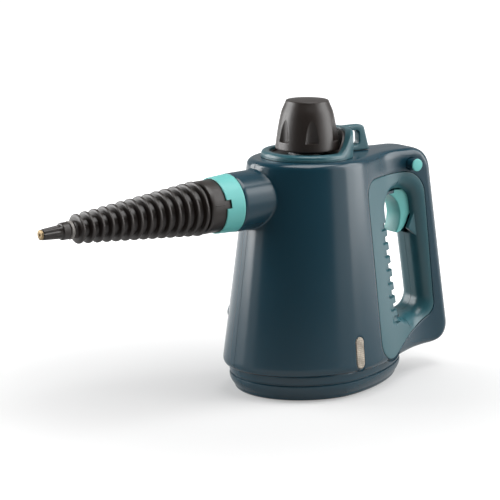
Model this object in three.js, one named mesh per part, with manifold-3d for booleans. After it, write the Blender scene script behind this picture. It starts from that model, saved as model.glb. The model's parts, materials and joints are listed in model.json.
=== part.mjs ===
// Handheld steam cleaner: a boiler in a two-part casing with a closed loop handle, a screwed safety cap
// on top and a ribbed nozzle on a bayonet. Millimetres, +Z up, nozzle towards -X, handle towards +X, and
// Y = 0 is the plane where the casing halves meet.
// Every X below is measured from the axis of the cap, until the whole is centred at the end.
import * as THREE from 'three';
import Module from 'manifold-3d';
import { mergeVertices } from 'three/addons/utils/BufferGeometryUtils.js';

const wasm = await Module();
wasm.setup();

// Clearances and overruns that many pieces share
const gap = 0.3;
const over = 4;
const far = 400;
const wall = 3;

// Casing: front, greatest half width, handle and rear edge, each at the rim and at the top
const casing = {
  rimZ: 20.5, topZ: 183.5, frontRim: 69.4, frontTop: 49, wideX: 5, wideRim: 60, wideTop: 42,
  taperRim: 121, taperTop: 78, slab: 17.5, rearRim: 135.2, rearTop: 109.2,
  rimRound: 6, topRound: 4.5, rearRound: 8, topCorner: 20, lowCorner: 15,
};
// Inset foot below the rim: a strip, a groove and a bowl. Its plan is round in front and narrows to the rear.
const footStep = { front: 7, side: 4 };
const foot = {
  lowZ: 0.8, riseZ: 30, front: casing.frontRim - footStep.front, rear: 91, wide: casing.wideRim - footStep.side,
  centreX: 0, narrow: 4 / 3, lowRound: 3, draft: 4, grooveLow: 13, grooveHigh: 14.4, groove: 1.2,
};
// Opening for the fingers: its corners in side view and how its edges roll
const opening = {
  underTop: 33, lowZ: 48, topFront: 54, topRear: 90.9, lowFront: 67, lowRear: 107.6, corner: 12,
  gripRoll: 12, bodyRoll: 4,
};
opening.topZ = casing.topZ - opening.underTop;
// Inlay panel on each side of the handle
const panel = {
  thick: 1.6, overOpening: 14.7, topFront: 30.4, topRear: 101.5, midRear: 116.2, midZ: 48, lowFront: 38.4,
  lowZ: 14, frontRound: 12, topRound: 22, midRound: 11, lowRound: 17, lip: 2, gripEdge: 6, bodyEdge: 22,
  notchPitch: 10.8, notchRadius: 2.93, notchLow: 50.5, notches: 8, notchOut: 1.53,
};
panel.topZ = opening.topZ + panel.overOpening;
// Nozzle axis: centre of the rear face of the lock ring, and how far the axis droops
const aim = { x: -72.4, underTop: 29.5, droop: THREE.MathUtils.degToRad(2.2) };
aim.z = casing.topZ - aim.underTop;
// From the barrel inwards each piece fits in the one before it: ring, socket of the cone, stub, spigot.
const fit = 0.4;
const barrel = { inside: 45, flare: 1.3, radius: 22.7, stub: 13, stubWall: 4 };
const ring = {
  long: 16.2, step: 0.2, draft: 0.9, wall: 0.9, flange: 2, notchHalf: 5, notchDeep: 4, notchAngle: -79,
};
ring.rearRadius = barrel.radius - ring.step;
ring.frontRadius = ring.rearRadius - ring.draft;
ring.bore = ring.frontRadius - ring.wall;
const cone = {
  back: 2.6, socketWall: 2.9, shoulder: 15.3, throatStep: 2, ribs: 14, firstRib: 32.8, pitch: 7.8,
  ribStep: 0.5, smallRib: 11.1, leadShare: 0.6, ribDeep: 2.8, ribFlat: 1.3, skin: 2.7, end: 139,
  endRadius: 6.6, tailBore: 3.5, mark: 0.45, markLong: 9,
};
cone.socket = ring.bore - fit;
cone.socketBore = cone.socket - cone.socketWall;
cone.throat = cone.socketBore - cone.throatStep;
cone.largeRib = cone.socket + cone.ribStep;
barrel.bore = barrel.radius - wall;
barrel.stubRadius = cone.socketBore - fit;
barrel.stubBore = barrel.stubRadius - barrel.stubWall;
const bayonet = { lugBack: 5, lugFront: 8, lugHalf: 8, slotHalf: 10, turn: 45, play: 0.5, slotDeep: 1.6 };
bayonet.slotFloor = barrel.stubRadius - bayonet.slotDeep;
const seal = { back: 13.3, front: 15, inner: barrel.stubBore + gap, outer: cone.socketBore - gap };
const washer = { thick: 2.6, radius: 6.9 };
const tip = {
  collar: 6.2, collarRadius: 6.5, rootRadius: 5.3, endRadius: 4.2, long: 21.6, flutes: 8, fluteRadius: 1.1,
  tail: 5, tailRadius: cone.tailBore - gap, bore: 3, throat: 1.5, jetDeep: 7,
};
const jet = { radius: tip.bore - gap, head: 3.9, headThick: 1.6, hole: 0.8 };
const spigot = { back: 32, front: 10, radius: 4, bore: 1.8, flangeBack: 3, flangeFront: 6 };

// Boiler, its neck and what is fixed to it
const tank = {
  lowZ: 40, underTop: 45.5, clearance: 2, round: 11, skin: 1.8, neckRadius: 15, neckWall: 2.6, neckRise: 3.5,
};
tank.topZ = casing.topZ - tank.underTop;
tank.neckTop = casing.topZ + tank.neckRise;
tank.radius = casing.wideTop - tank.clearance;
tank.neckBore = tank.neckRadius - tank.neckWall;
const heater = { ringRadius: tank.radius - tank.round, tube: 3.1 };
const thermostat = { fromNeck: 1.5, radius: 7.5, height: 8 };
const fuse = { fromNeck: 3.5, radius: 3.5, height: 6 };
const base = {
  plate: 3.5, post: 4, postGap: 2.9, posts: 3, recess: 1.1, screwInset: 12.3, boss: 6, bossTop: 16,
};
const pad = { radius: 6.5, angleShares: [0.14, 0.36, 0.64, 0.86], inset: 24.5 };

// Cap
const cap = {
  rise: 6, tall: 38.1, dome: 1.8, lowRadius: 24.9, skin: 4.4, heightShares: [0, 0.26, 0.53, 0.79, 0.97, 1],
  radiusShares: [1, 0.95, 0.884, 0.79, 0.675, 0.63], flutes: 6, fluteSill: 6.7, fluteRadius: 7.5,
  fluteDeep: 3.7, fluteTurn: -26, hub: 9.3, hubWall: 2, seatThick: 2,
};
cap.lowZ = casing.topZ + cap.rise;
cap.edgeZ = cap.lowZ + cap.tall;
const plug = {
  stem: tank.neckBore - fit, deep: 29.5, flange: tank.neckRadius, inCap: 0.7, flangeThick: 3, hubTall: 15.5,
  bore: 5, seat: 2.2, seatThick: 4,
};
plug.lowZ = cap.lowZ - plug.deep;
plug.flangeZ = cap.lowZ + plug.inCap;
plug.hubTop = cap.lowZ + plug.hubTall;
const gasket = { thick: 1.5, inner: plug.stem + gap };
const slip = { thick: 0.8 };
const poppet = { head: 3.7, headThick: 2.5, stem: 1.3, stemLong: 18.2 };

// Collar round the cap, its raised rear and its loop
const collar = {
  outer: 36, topOuter: 34.6, inner: 29.3, frontTall: 5, rearTall: 20.8, riseFront: 9, riseRear: 27,
  loopRear: 58.6, loopTopRear: 52.6, loopHalf: 3.6, loopRound: 4.5, windowFront: 38.5, windowRear: 48.6,
  windowSill: 4.5, windowTall: 12, windowRound: 3.5,
};
collar.frontZ = casing.topZ + collar.frontTall;
collar.rearZ = casing.topZ + collar.rearTall;
collar.windowLow = casing.topZ + collar.windowSill;
collar.windowHigh = collar.windowLow + collar.windowTall;
const liner = { skin: 1.5, floor: 1.8, drop: 2 };

// Steam valve, push rod, trigger and lock
const valve = {
  frontX: 18.6, rearX: 46, overTank: 24, radius: 6.5, bore: 3.2, boreFront: 24.4, pillarX: 24, pillar: 4,
  outletX: 30,
};
valve.z = tank.topZ + valve.overTank;
const plunger = { radius: valve.bore - fit, frontX: 30, rearX: 49.5 };
const rod = { radius: 1.6, rearX: 88.2 };
const trigger = {
  pivotX: 95, overOpening: 4.5, half: 9, bore: 2.3, noseX: 72.2, noseDrop: 7.6, topDrop: 5.2, neckX: 84.6,
  neckDrop: 12, midX: 85.8, midDrop: 25.5, curlDrop: 34, lowX: 82, tall: 40.1, heelX: 91.6, hipX: 94.3,
  hipDrop: 28, handX: 101, handDrop: 18.5, backX: 99.5, armX: 88.5, armRise: 9.6,
};
trigger.pivotZ = opening.topZ + trigger.overOpening;
trigger.noseZ = trigger.pivotZ - trigger.noseDrop;
trigger.topZ = trigger.pivotZ - trigger.topDrop;
trigger.armTop = trigger.pivotZ + trigger.armRise;
trigger.neckZ = trigger.pivotZ - trigger.neckDrop;
trigger.midZ = trigger.pivotZ - trigger.midDrop;
trigger.curlZ = trigger.pivotZ - trigger.curlDrop;
trigger.hipZ = trigger.pivotZ - trigger.hipDrop;
trigger.handZ = trigger.pivotZ - trigger.handDrop;
trigger.lowZ = trigger.pivotZ - trigger.tall;
const pin = { radius: trigger.bore - gap, half: 14, boss: 4.6 };
const lockRise = 16;
const slot = { play: 0.6, frontX: 82.8, rearX: 104.5, underTrigger: 2.2, overPivot: 5 };
slot.lowZ = trigger.lowZ - slot.underTrigger;
slot.topZ = trigger.pivotZ + slot.overPivot;
// Flat cheeks of the panels on both sides of the trigger's lower end, by their drops below its pivot
const cheek = {
  thick: 3.4, apexX: 97, apexDrop: 23.7, frontX: 91, frontDrop: 37.1, rearX: 100, rearDrop: 44.4,
};
const lock = {
  x: 89.9, z: trigger.pivotZ + lockRise, radius: 5, out: 25.5, back: casing.slab - gap, neckRadius: 3.6,
  neckHalf: 4,
};
const wire = 0.5;
const returnSpring = { underPivot: 15, frontX: 101.6, rearX: 112.2, radius: 3, turns: 5 };
returnSpring.z = trigger.pivotZ - returnSpring.underPivot;
const pipe = { radius: 2, sideY: 24, bendXShare: 0.67, bendYShare: 0.6 };

// Lens, lamp, gland, terminal block and screws
const lens = { x: 10, lowZ: 24, highZ: 48.4, half: 3.9, proud: 0.3, thick: 2.4 };
const lamp = { z: 36, radius: 2.8, long: 12 };
const gland = { z: 10.5, radius: 4, sleeve: 5.5, endRadius: 3.6, flange: 5.6, flangeThick: 1.6, bore: 2.6 };
const block = { x: 62, half: 8, long: 16, tall: 12 };
const screw = {
  radius: 1.5, crownShare: 0.8, hole: 1.7, head: 3.1, well: 3.6, headThick: 2, headY: 9, tipY: -10, boss: 5.2,
  baseLong: 8,
};
// Screws of the casing, as shares of its rear edge at the rim and of its height
const screwShares = [[0.766, 0.913], [0.86, 0.447], [0.836, 0.18], [-0.348, 0.327], [0.429, 0.196]];
const screwPlaces = screwShares.map(([x, z]) => ({ x: x * casing.rearRim, z: z * casing.topZ }));

// Finishes
const finish = (color, roughness, metalness) =>
  new THREE.MeshStandardMaterial({ color, roughness, metalness });
const glossTeal = finish(0x1f4152, 0.25, 0);
const slate = finish(0x6b9095, 0.45, 0);
const turquoise = finish(0x7fcfc8, 0.4, 0);
const warmBlack = finish(0x2b2827, 0.45, 0);
const rubber = finish(0x1a1a1a, 0.9, 0);
const brass = finish(0xc9a45c, 0.3, 1);
const steel = finish(0xb9bcc0, 0.35, 1);
const castAluminium = finish(0xa9acae, 0.5, 1);
const greyPlastic = finish(0x9a9590, 0.5, 0);
const frosted = finish(0xc9bfae, 0.4, 0);
const whiteInsulator = finish(0xe6e2d8, 0.6, 0);

// Shape helpers

// One closed mesh: shared vertices merged, slivers on an axis dropped, faces pointing out.
function weld(geometry) {
  geometry.deleteAttribute('normal');
  if (geometry.getAttribute('uv')) geometry.deleteAttribute('uv');
  const merged = mergeVertices(geometry);
  const corners = merged.index.array;
  const kept = [];
  for (let i = 0; i < corners.length; i += 3) {
    const [a, b, c] = [corners[i], corners[i + 1], corners[i + 2]];
    if (a !== b && b !== c && c !== a) kept.push(a, b, c);
  }
  const points = merged.getAttribute('position').array;
  const at = (i) => new THREE.Vector3(points[3 * i], points[3 * i + 1], points[3 * i + 2]);
  let volume = 0;
  for (let i = 0; i < kept.length; i += 3) volume += at(kept[i]).dot(at(kept[i + 1]).cross(at(kept[i + 2])));
  if (volume < 0) for (let i = 0; i < kept.length; i += 3) [kept[i], kept[i + 1]] = [kept[i + 1], kept[i]];
  return new wasm.Mesh({
    numProp: 3, vertProperties: new Float32Array(points), triVerts: new Uint32Array(kept),
  });
}

const solid = (geometry) => new wasm.Manifold(weld(geometry));
const join = (first, ...others) => others.reduce((sum, next) => sum.add(next), first);
const cut = (first, ...tools) => tools.reduce((rest, next) => rest.subtract(next), first);
const common = (first, ...others) => others.reduce((sum, next) => sum.intersect(next), first);

// A body turned about Z from [radius, height] points.
function turned(points, sides) {
  const profile = points.map(([radius, height]) => new THREE.Vector2(radius, height));
  profile.push(profile[0].clone());
  return new THREE.LatheGeometry(profile, sides).rotateX(Math.PI / 2);
}

const cylinder = (radius, low, high, sides = 20) =>
  turned([[0, low], [radius, low], [radius, high], [0, high]], sides);
const sleeve = (inner, outer, low, high, sides = 24) =>
  turned([[inner, low], [outer, low], [outer, high], [inner, high]], sides);

// The same shapes lying along Y or X: low and high are then the ends on that axis.
const alongY = (geometry) => geometry.rotateX(-Math.PI / 2);
const alongX = (geometry) => geometry.rotateY(Math.PI / 2);

function box(x0, x1, y0, y1, z0, z1) {
  const shape = new THREE.BoxGeometry(x1 - x0, y1 - y0, z1 - z0);
  return shape.translate((x0 + x1) / 2, (y0 + y1) / 2, (z0 + z1) / 2);
}

// Points of a polygon whose corners { x, z, round } are rounded, the same count for every such polygon.
function roundedCorners(corners, steps = 4) {
  const points = [];
  corners.forEach((corner, i) => {
    const here = new THREE.Vector2(corner.x, corner.z);
    const before = corners[(i + corners.length - 1) % corners.length];
    const after = corners[(i + 1) % corners.length];
    const back = new THREE.Vector2(before.x, before.z).sub(here).normalize();
    const ahead = new THREE.Vector2(after.x, after.z).sub(here).normalize();
    const half = Math.acos(back.dot(ahead)) / 2;
    const reach = corner.round / Math.tan(half);
    const centre = back.clone().add(ahead).normalize().multiplyScalar(corner.round / Math.sin(half)).add(here);
    const from = here.clone().addScaledVector(back, reach).sub(centre);
    const to = here.clone().addScaledVector(ahead, reach).sub(centre);
    const sweep = Math.atan2(from.cross(to), from.dot(to));
    for (let k = 0; k <= steps; k += 1) {
      const arm = from.clone().rotateAround(new THREE.Vector2(), (sweep * k) / steps);
      points.push(arm.add(centre));
    }
  });
  return points;
}

// A side view outline (x, z) carried from y0 to y1.
function prism(points, y0, y1) {
  const body = new THREE.ExtrudeGeometry(new THREE.Shape(points), { depth: y1 - y0, bevelEnabled: false });
  return body.rotateX(Math.PI / 2).translate(0, y1, 0);
}

// A sector of a ring about Z, angles in degrees.
function sector(inner, outer, from, to, low, high) {
  const [a, b] = [THREE.MathUtils.degToRad(from), THREE.MathUtils.degToRad(to)];
  const shape = new THREE.Shape();
  shape.absarc(0, 0, outer, a, b, false);
  shape.absarc(0, 0, inner, b, a, true);
  const body = new THREE.ExtrudeGeometry(shape, { depth: high - low, bevelEnabled: false, curveSegments: 4 });
  return body.translate(0, 0, low);
}

// A skin through rings of points, each ring as long as the next, closed by flat ends.
function loft(rings) {
  const count = rings[0].length;
  const positions = rings.flat().flatMap((p) => [p.x, p.y, p.z]);
  const index = [];
  for (let r = 0; r + 1 < rings.length; r += 1) {
    for (let i = 0; i < count; i += 1) {
      const j = (i + 1) % count;
      const [a, b, c, d] = [r * count + i, r * count + j, (r + 1) * count + j, (r + 1) * count + i];
      index.push(a, b, c, a, c, d);
    }
  }
  const flatten = (p) => new THREE.Vector2(p.x, rings.lying ? p.z : p.y);
  const lid = THREE.ShapeUtils.triangulateShape(rings[0].map(flatten), []);
  const turn = THREE.ShapeUtils.area(rings[0].map(flatten)) > 0;
  const last = (rings.length - 1) * count;
  for (const [a, b, c] of lid) {
    index.push(...(turn ? [a, c, b] : [a, b, c]));
    index.push(...(turn ? [last + a, last + b, last + c] : [last + a, last + c, last + b]));
  }
  const body = new THREE.BufferGeometry();
  body.setAttribute('position', new THREE.Float32BufferAttribute(positions, 3));
  body.setAttribute('normal', new THREE.Float32BufferAttribute(new Float32Array(positions.length), 3));
  body.setIndex(index);
  return body;
}

function helix(radius, turns, from, to, place) {
  const points = [];
  for (let i = 0; i <= turns * 8; i += 1) {
    const angle = (i * Math.PI) / 4;
    const along = from + ((to - from) * i) / (turns * 8);
    points.push(place(along, radius * Math.cos(angle), radius * Math.sin(angle)));
  }
  return bent(wire, points, turns * 8, 4);
}

// A round tube along a smooth curve through the points.
function bent(radius, points, steps, sides) {
  const section = new THREE.Shape();
  for (let i = 0; i < sides; i += 1) {
    const angle = (i * 2 * Math.PI) / sides;
    const [x, y] = [radius * Math.cos(angle), radius * Math.sin(angle)];
    if (i === 0) section.moveTo(x, y); else section.lineTo(x, y);
  }
  const path = new THREE.CatmullRomCurve3(points);
  return new THREE.ExtrudeGeometry(section, { steps, extrudePath: path, bevelEnabled: false });
}

// Casing

const blend = (low, high, share) => low + (high - low) * share;
const casingShare = (z) => (z - casing.rimZ) / (casing.topZ - casing.rimZ);

// Half width of the casing behind its widest place: it tapers into the handle on a half wave.
function halfWidth(x, z) {
  const share = casingShare(z);
  const wide = blend(casing.wideRim, casing.wideTop, share);
  const taper = blend(casing.taperRim, casing.taperTop, share);
  const along = Math.min((x - casing.wideX) / (taper - casing.wideX), 1);
  return blend(casing.slab, wide, (1 + Math.cos(Math.PI * along)) / 2);
}

// The outline of the casing at height z, drawn in by inset: a round front, sides that taper into the handle.
const roundSteps = 2;
const fine = { front: 7, taper: 6, between: 3, roll: 3, corner: 3 };
const coarse = { front: 3, taper: 3, between: 2, roll: 1, corner: 2 };
function casingPlan(z, inset, detail) {
  const share = casingShare(z);
  const front = blend(casing.frontRim, casing.frontTop, share) - inset;
  const wide = blend(casing.wideRim, casing.wideTop, share) - inset;
  const taper = blend(casing.taperRim, casing.taperTop, share);
  const rear = blend(casing.rearRim, casing.rearTop, share) - inset;
  const slab = casing.slab - inset;
  const round = Math.max(casing.rearRound - inset, gap);
  const half = [];
  for (let i = 0; i <= detail.front; i += 1) {
    const angle = (i * Math.PI) / (2 * detail.front);
    half.push([casing.wideX - (front + casing.wideX) * Math.cos(angle), wide * Math.sin(angle)]);
  }
  for (let i = 1; i <= detail.taper; i += 1) {
    const x = blend(casing.wideX, taper, i / detail.taper);
    half.push([x, halfWidth(x, z) - inset]);
  }
  for (let i = 0; i <= roundSteps; i += 1) {
    const angle = (i * Math.PI) / (2 * roundSteps);
    half.push([rear - round + round * Math.sin(angle), slab - round + round * Math.cos(angle)]);
  }
  const other = half.slice(1).reverse().map(([x, y]) => [x, -y]);
  return [...half, ...other].map(([x, y]) => new THREE.Vector3(x, y, z)).reverse();
}

// Heights and extra insets of a body whose lower and upper edges are rounded.
function roundedLevels(low, high, lowRound, highRound, between) {
  const levels = [];
  for (let i = 0; i <= roundSteps; i += 1) {
    const angle = (i * Math.PI) / (2 * roundSteps);
    levels.push([low + lowRound * (1 - Math.cos(angle)), lowRound * (1 - Math.sin(angle))]);
  }
  for (let i = 1; i < between; i += 1) {
    levels.push([blend(low + lowRound, high - highRound, i / between), 0]);
  }
  for (let i = roundSteps; i >= 0; i -= 1) {
    const angle = (i * Math.PI) / (2 * roundSteps);
    levels.push([high - highRound * (1 - Math.cos(angle)), highRound * (1 - Math.sin(angle))]);
  }
  return levels;
}

// Where the two long sides of the opening lie at height z.
function openingEdge(z) {
  const share = (z - opening.lowZ) / (opening.topZ - opening.lowZ);
  return {
    front: blend(opening.lowFront, opening.topFront, share),
    rear: blend(opening.lowRear, opening.topRear, share),
  };
}

// The space of the opening. Its edges roll outwards on a quarter round, large along the grip.
function openingSpace(inset, lip, detail) {
  const ringAt = (open) => {
    const grip = inset + (opening.gripRoll - inset) * open;
    const body = inset - lip + (opening.bodyRoll - inset) * open;
    const [low, high] = [opening.lowZ - grip, opening.topZ + grip];
    const [lowEdge, highEdge] = [openingEdge(low), openingEdge(high)];
    const round = opening.corner + grip;
    return roundedCorners([
      { x: lowEdge.front - body, z: low, round }, { x: lowEdge.rear + grip, z: low, round },
      { x: highEdge.rear + grip, z: high, round }, { x: highEdge.front - body, z: high, round },
    ], detail.corner);
  };
  const side = (sign) => {
    const rings = [];
    for (let i = 0; i <= detail.roll; i += 1) {
      const angle = (i * Math.PI) / (2 * detail.roll);
      rings.push(ringAt(1 - Math.cos(angle)).map((p) => {
        const edge = openingEdge(p.y);
        const back = Math.min(Math.max((p.x - edge.front) / opening.corner, 0), 1);
        const roll = blend(opening.bodyRoll, opening.gripRoll, back) - inset;
        const y = halfWidth(p.x, p.y) - inset - roll * (1 - Math.sin(angle));
        return new THREE.Vector3(p.x, sign * y, p.y);
      }));
    }
    rings.push(rings[detail.roll].map((p) => new THREE.Vector3(p.x, sign * (casing.wideRim + over), p.z)));
    return rings;
  };
  const rings = [...side(-1).reverse(), ...side(1)];
  rings.lying = true;
  return solid(loft(rings));
}

// The casing drawn in by inset, as one full body with the opening through it.
function casingBody(inset, lip = 0, detail = fine) {
  const [low, high] = [casing.rimZ + inset, casing.topZ - inset];
  const rimRound = Math.max(casing.rimRound - inset, gap);
  const topRound = Math.max(casing.topRound - inset, gap);
  const levels = roundedLevels(low, high, rimRound, topRound, detail.between);
  const rings = levels.map(([z, extra]) => casingPlan(z, inset + extra, detail));
  const front = -casing.frontRim - over;
  const rearAt = (z) => blend(casing.rearRim, casing.rearTop, casingShare(z)) - inset;
  const side = roundedCorners([
    { x: front, z: low, round: gap }, { x: rearAt(low), z: low, round: casing.lowCorner - inset },
    { x: rearAt(high), z: high, round: casing.topCorner - inset }, { x: front, z: high, round: gap },
  ]);
  const reach = casing.wideRim + over;
  const whole = common(solid(loft(rings)), solid(prism(side, -reach, reach)));
  return cut(whole, openingSpace(inset, lip, detail));
}

// A point of the foot's outline, share of the way round from the front, drawn in by inset.
function footPoint(share, inset) {
  const angle = 2 * Math.PI * share;
  const [along, across] = [Math.cos(angle), Math.sin(angle)];
  const ahead = along > 0 ? foot.front + foot.centreX : foot.rear - foot.centreX;
  const power = along > 0 ? 1 : foot.narrow;
  const bend = (value) => Math.sign(value) * Math.abs(value) ** power;
  return [foot.centreX - (ahead - inset) * bend(along), (foot.wide - inset) * bend(across)];
}

const footSteps = 24;
const bowlSteps = 3;
function footPlan(z, inset) {
  const ring = [];
  for (let i = 0; i < footSteps; i += 1) {
    const [x, y] = footPoint(i / footSteps, inset);
    ring.push(new THREE.Vector3(x, y, z));
  }
  return ring.reverse();
}

function footBody(inset, low, high) {
  const levels = [
    [low, foot.lowRound + foot.draft], [low + foot.lowRound / 3, foot.lowRound / 3 + foot.draft],
  ];
  if (inset === 0) {
    for (let i = bowlSteps; i >= 0; i -= 1) {
      const share = i / bowlSteps;
      const z = blend(foot.grooveLow - gap, low + foot.lowRound, share);
      levels.push([z, foot.draft * (1 - Math.cos((share * Math.PI) / 2))]);
    }
    levels.push([foot.grooveLow, foot.groove], [foot.grooveHigh, foot.groove]);
    levels.push([foot.grooveHigh + gap, 0]);
  }
  levels.push([high, 0]);
  return solid(loft(levels.map(([z, extra]) => footPlan(z, inset + extra))));
}

// Placing along the nozzle: local Z runs forward out of the ring
const nozzleFrame = new THREE.Matrix4()
  .makeRotationY(-Math.PI / 2 - aim.droop)
  .setPosition(aim.x, 0, aim.z);
const onNozzle = (geometry) => geometry.applyMatrix4(nozzleFrame);

const group = new THREE.Group();

// The largest body of a cut piece, without the slivers that a cut leaves.
const largest = (body) =>
  body.decompose().reduce((best, next) => (next.volume() > best.volume() ? next : best));

function add(name, body, material) {
  const data = largest(body).getMesh();
  const geometry = new THREE.BufferGeometry();
  geometry.setAttribute('position', new THREE.Float32BufferAttribute(data.vertProperties, 3));
  geometry.setIndex(new THREE.Uint32BufferAttribute(data.triVerts, 1));
  geometry.computeVertexNormals();
  const mesh = new THREE.Mesh(geometry, material);
  mesh.name = name;
  group.add(mesh);
}

// Casing halves

const full = casingBody(0);
const skirt = footBody(0, foot.lowZ, casing.rimZ + casing.rimRound);
const hollow = casingBody(wall, 0, coarse);
const footHollow = footBody(wall, foot.lowZ - over, foot.riseZ);

function baseScrewPoints() {
  return pad.angleShares.map((share) => footPoint(share, base.screwInset));
}

const panelOutline = (grow) => roundedCorners([
  { x: panel.lowFront - grow, z: panel.lowZ - grow, round: panel.lowRound },
  { x: panel.midRear + grow, z: panel.midZ - grow, round: panel.midRound },
  { x: panel.topRear + grow, z: panel.topZ + grow, round: panel.topRound },
  { x: panel.topFront - grow, z: panel.topZ + grow, round: panel.frontRound },
]);

// The part of space that a panel may fill: outside the body's edge in front, further in along the grip.
function panelZone(side, grow) {
  const reach = casing.wideRim + over;
  const outline = panelOutline(grow);
  const middle = (opening.topFront + opening.lowRear) / 2;
  const ends = (edge) => (side < 0 ? [-reach, grow - edge] : [edge - grow, reach]);
  const slabFrom = (edge) => solid(prism(outline, ...ends(edge)));
  const grip = common(slabFrom(panel.gripEdge), solid(box(middle - grow, far, -far, far, -far, far)));
  return join(slabFrom(panel.bodyEdge), grip);
}

const pill = (grow) => roundedCorners([
  { x: lens.x - lens.half - grow, z: lens.lowZ - grow, round: lens.half + grow - gap / 10 },
  { x: lens.x + lens.half + grow, z: lens.lowZ - grow, round: lens.half + grow - gap / 10 },
  { x: lens.x + lens.half + grow, z: lens.highZ + grow, round: lens.half + grow - gap / 10 },
  { x: lens.x - lens.half - grow, z: lens.highZ + grow, round: lens.half + grow - gap / 10 },
], 4);

const barrelOutside = onNozzle(turned([
  [0, -barrel.inside], [barrel.radius + barrel.flare, -barrel.inside], [barrel.radius, 0],
  [barrel.stubRadius, 0], [barrel.stubRadius, barrel.stub], [0, barrel.stub],
], 24));
const barrelInside = onNozzle(turned([
  [0, -barrel.inside - over], [barrel.bore, -barrel.inside - over], [barrel.bore, -wall],
  [barrel.stubBore, -wall], [barrel.stubBore, barrel.stub + over], [0, barrel.stub + over],
], 20));

const bosses = screwPlaces.map(({ x, z }) =>
  solid(alongY(cylinder(screw.boss, -casing.wideRim, casing.wideRim, 10)).translate(x, 0, z)));
const pinBoss = solid(alongY(cylinder(pin.boss, -casing.slab, casing.slab, 10))
  .translate(trigger.pivotX, 0, trigger.pivotZ));
const baseBosses = baseScrewPoints().map(([x, y]) =>
  solid(cylinder(base.boss, foot.lowZ + base.plate + gap, base.bossTop, 10).translate(x, y, 0)));
const bossLimit = join(casingBody(wall / 2, 0, coarse), footBody(wall / 2, foot.lowZ - over, casing.rimZ));

let shell = join(full, skirt, solid(barrelOutside));
shell = cut(shell, hollow, footHollow, solid(barrelInside));
shell = join(shell, common(join(...bosses, pinBoss, ...baseBosses), bossLimit));

const reach = casing.wideRim + over;
const lugAngles = [0, 180];
const bayonetSpaces = lugAngles.flatMap((angle) => [
  onNozzle(sector(bayonet.slotFloor, barrel.stubRadius + over, angle - bayonet.slotHalf,
    angle + bayonet.slotHalf, bayonet.lugBack - bayonet.play, barrel.stub + over)),
  onNozzle(sector(bayonet.slotFloor, barrel.stubRadius + over, angle - bayonet.slotHalf,
    angle + bayonet.slotHalf + bayonet.turn, bayonet.lugBack - bayonet.play, bayonet.lugFront + bayonet.play)),
]).map(solid);
const screwHoles = screwPlaces.flatMap(({ x, z }) => [
  alongY(cylinder(screw.hole, screw.tipY - gap, reach, 8)).translate(x, 0, z),
  alongY(cylinder(screw.well, screw.headY - gap, reach, 10)).translate(x, 0, z),
]).map(solid);
const baseHoles = baseScrewPoints().map(([x, y]) =>
  solid(cylinder(screw.hole, 0, foot.lowZ + screw.baseLong + gap, 8).translate(x, y, 0)));
const slotHalf = trigger.half + slot.play;
const triggerSlot = solid(box(slot.frontX, slot.rearX, -slotHalf, slotHalf, slot.lowZ, slot.topZ));
const pinHole = solid(alongY(cylinder(pin.radius + gap / 2, -pin.half - gap, pin.half + gap, 12))
  .translate(trigger.pivotX, 0, trigger.pivotZ));
const lockHole = solid(alongY(cylinder(lock.radius + gap, -reach, reach)).translate(lock.x, 0, lock.z));
const neckHole = solid(cylinder(tank.neckRadius + gap, casing.topZ - wall - over, casing.topZ + over, 28));
const glandHole = solid(alongY(cylinder(gland.radius + gap, 0, reach)).translate(foot.centreX, 0, gland.z));
const lensHole = solid(prism(pill(gap), -reach, -casing.slab));
const recesses = [-1, 1].map((side) =>
  common(cut(casingBody(-gap), casingBody(panel.thick + gap)), panelZone(side, gap)));
shell = cut(
  shell, ...bayonetSpaces, ...screwHoles, ...baseHoles, triggerSlot, pinHole, lockHole, neckHole, ...recesses,
);

const leftSide = solid(box(-far, far, gap / 2, far, -far, far));
const rightSide = solid(box(-far, far, -far, -gap / 2, -far, far));
add('left_shell', cut(common(shell, leftSide), glandHole), glossTeal);
add('right_shell', cut(common(shell, rightSide), lensHole), glossTeal);

// Panels: the skin of the casing inside their outline, with a lip at the opening, notched for the fingers
const notches = [];
for (let i = 0; i < panel.notches; i += 1) {
  const z = panel.notchLow + i * panel.notchPitch;
  const x = openingEdge(z).front + panel.lip + panel.notchOut;
  notches.push(solid(alongY(cylinder(panel.notchRadius, -reach, reach, 12)).translate(x, 0, z)));
}
const behindPanel = casingBody(panel.thick, panel.lip);
const panelSkin = cut(casingBody(0, panel.lip), behindPanel, ...notches, triggerSlot);
const cheekOutline = [
  [cheek.apexX, cheek.apexDrop], [cheek.frontX, cheek.frontDrop], [cheek.rearX, cheek.rearDrop],
  [cheek.rearX + over, cheek.rearDrop], [cheek.rearX + over, cheek.apexDrop],
].map(([x, drop]) => new THREE.Vector2(x, trigger.pivotZ - drop));
const cheekOut = slotHalf + cheek.thick;
add('left_handle_panel', join(common(panelSkin, panelZone(1, 0)),
  cut(solid(prism(cheekOutline, slotHalf, cheekOut)), behindPanel)), slate);
add('right_handle_panel', join(common(panelSkin, panelZone(-1, 0)),
  cut(solid(prism(cheekOutline, -cheekOut, -slotHalf)), behindPanel)), slate);

// Lens and lamp
const lensSkin = cut(casingBody(-lens.proud), casingBody(lens.thick));
add('indicator_lens', common(lensSkin, solid(prism(pill(0), -reach, -casing.slab))), frosted);
const lampY = -(halfWidth(lens.x, lamp.z) - wall - 2 * gap);
const lampBody = alongY(cylinder(lamp.radius, lampY, lampY + lamp.long, 16));
add('indicator_lamp', solid(lampBody.translate(lens.x, 0, lamp.z)), whiteInsulator);

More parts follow.
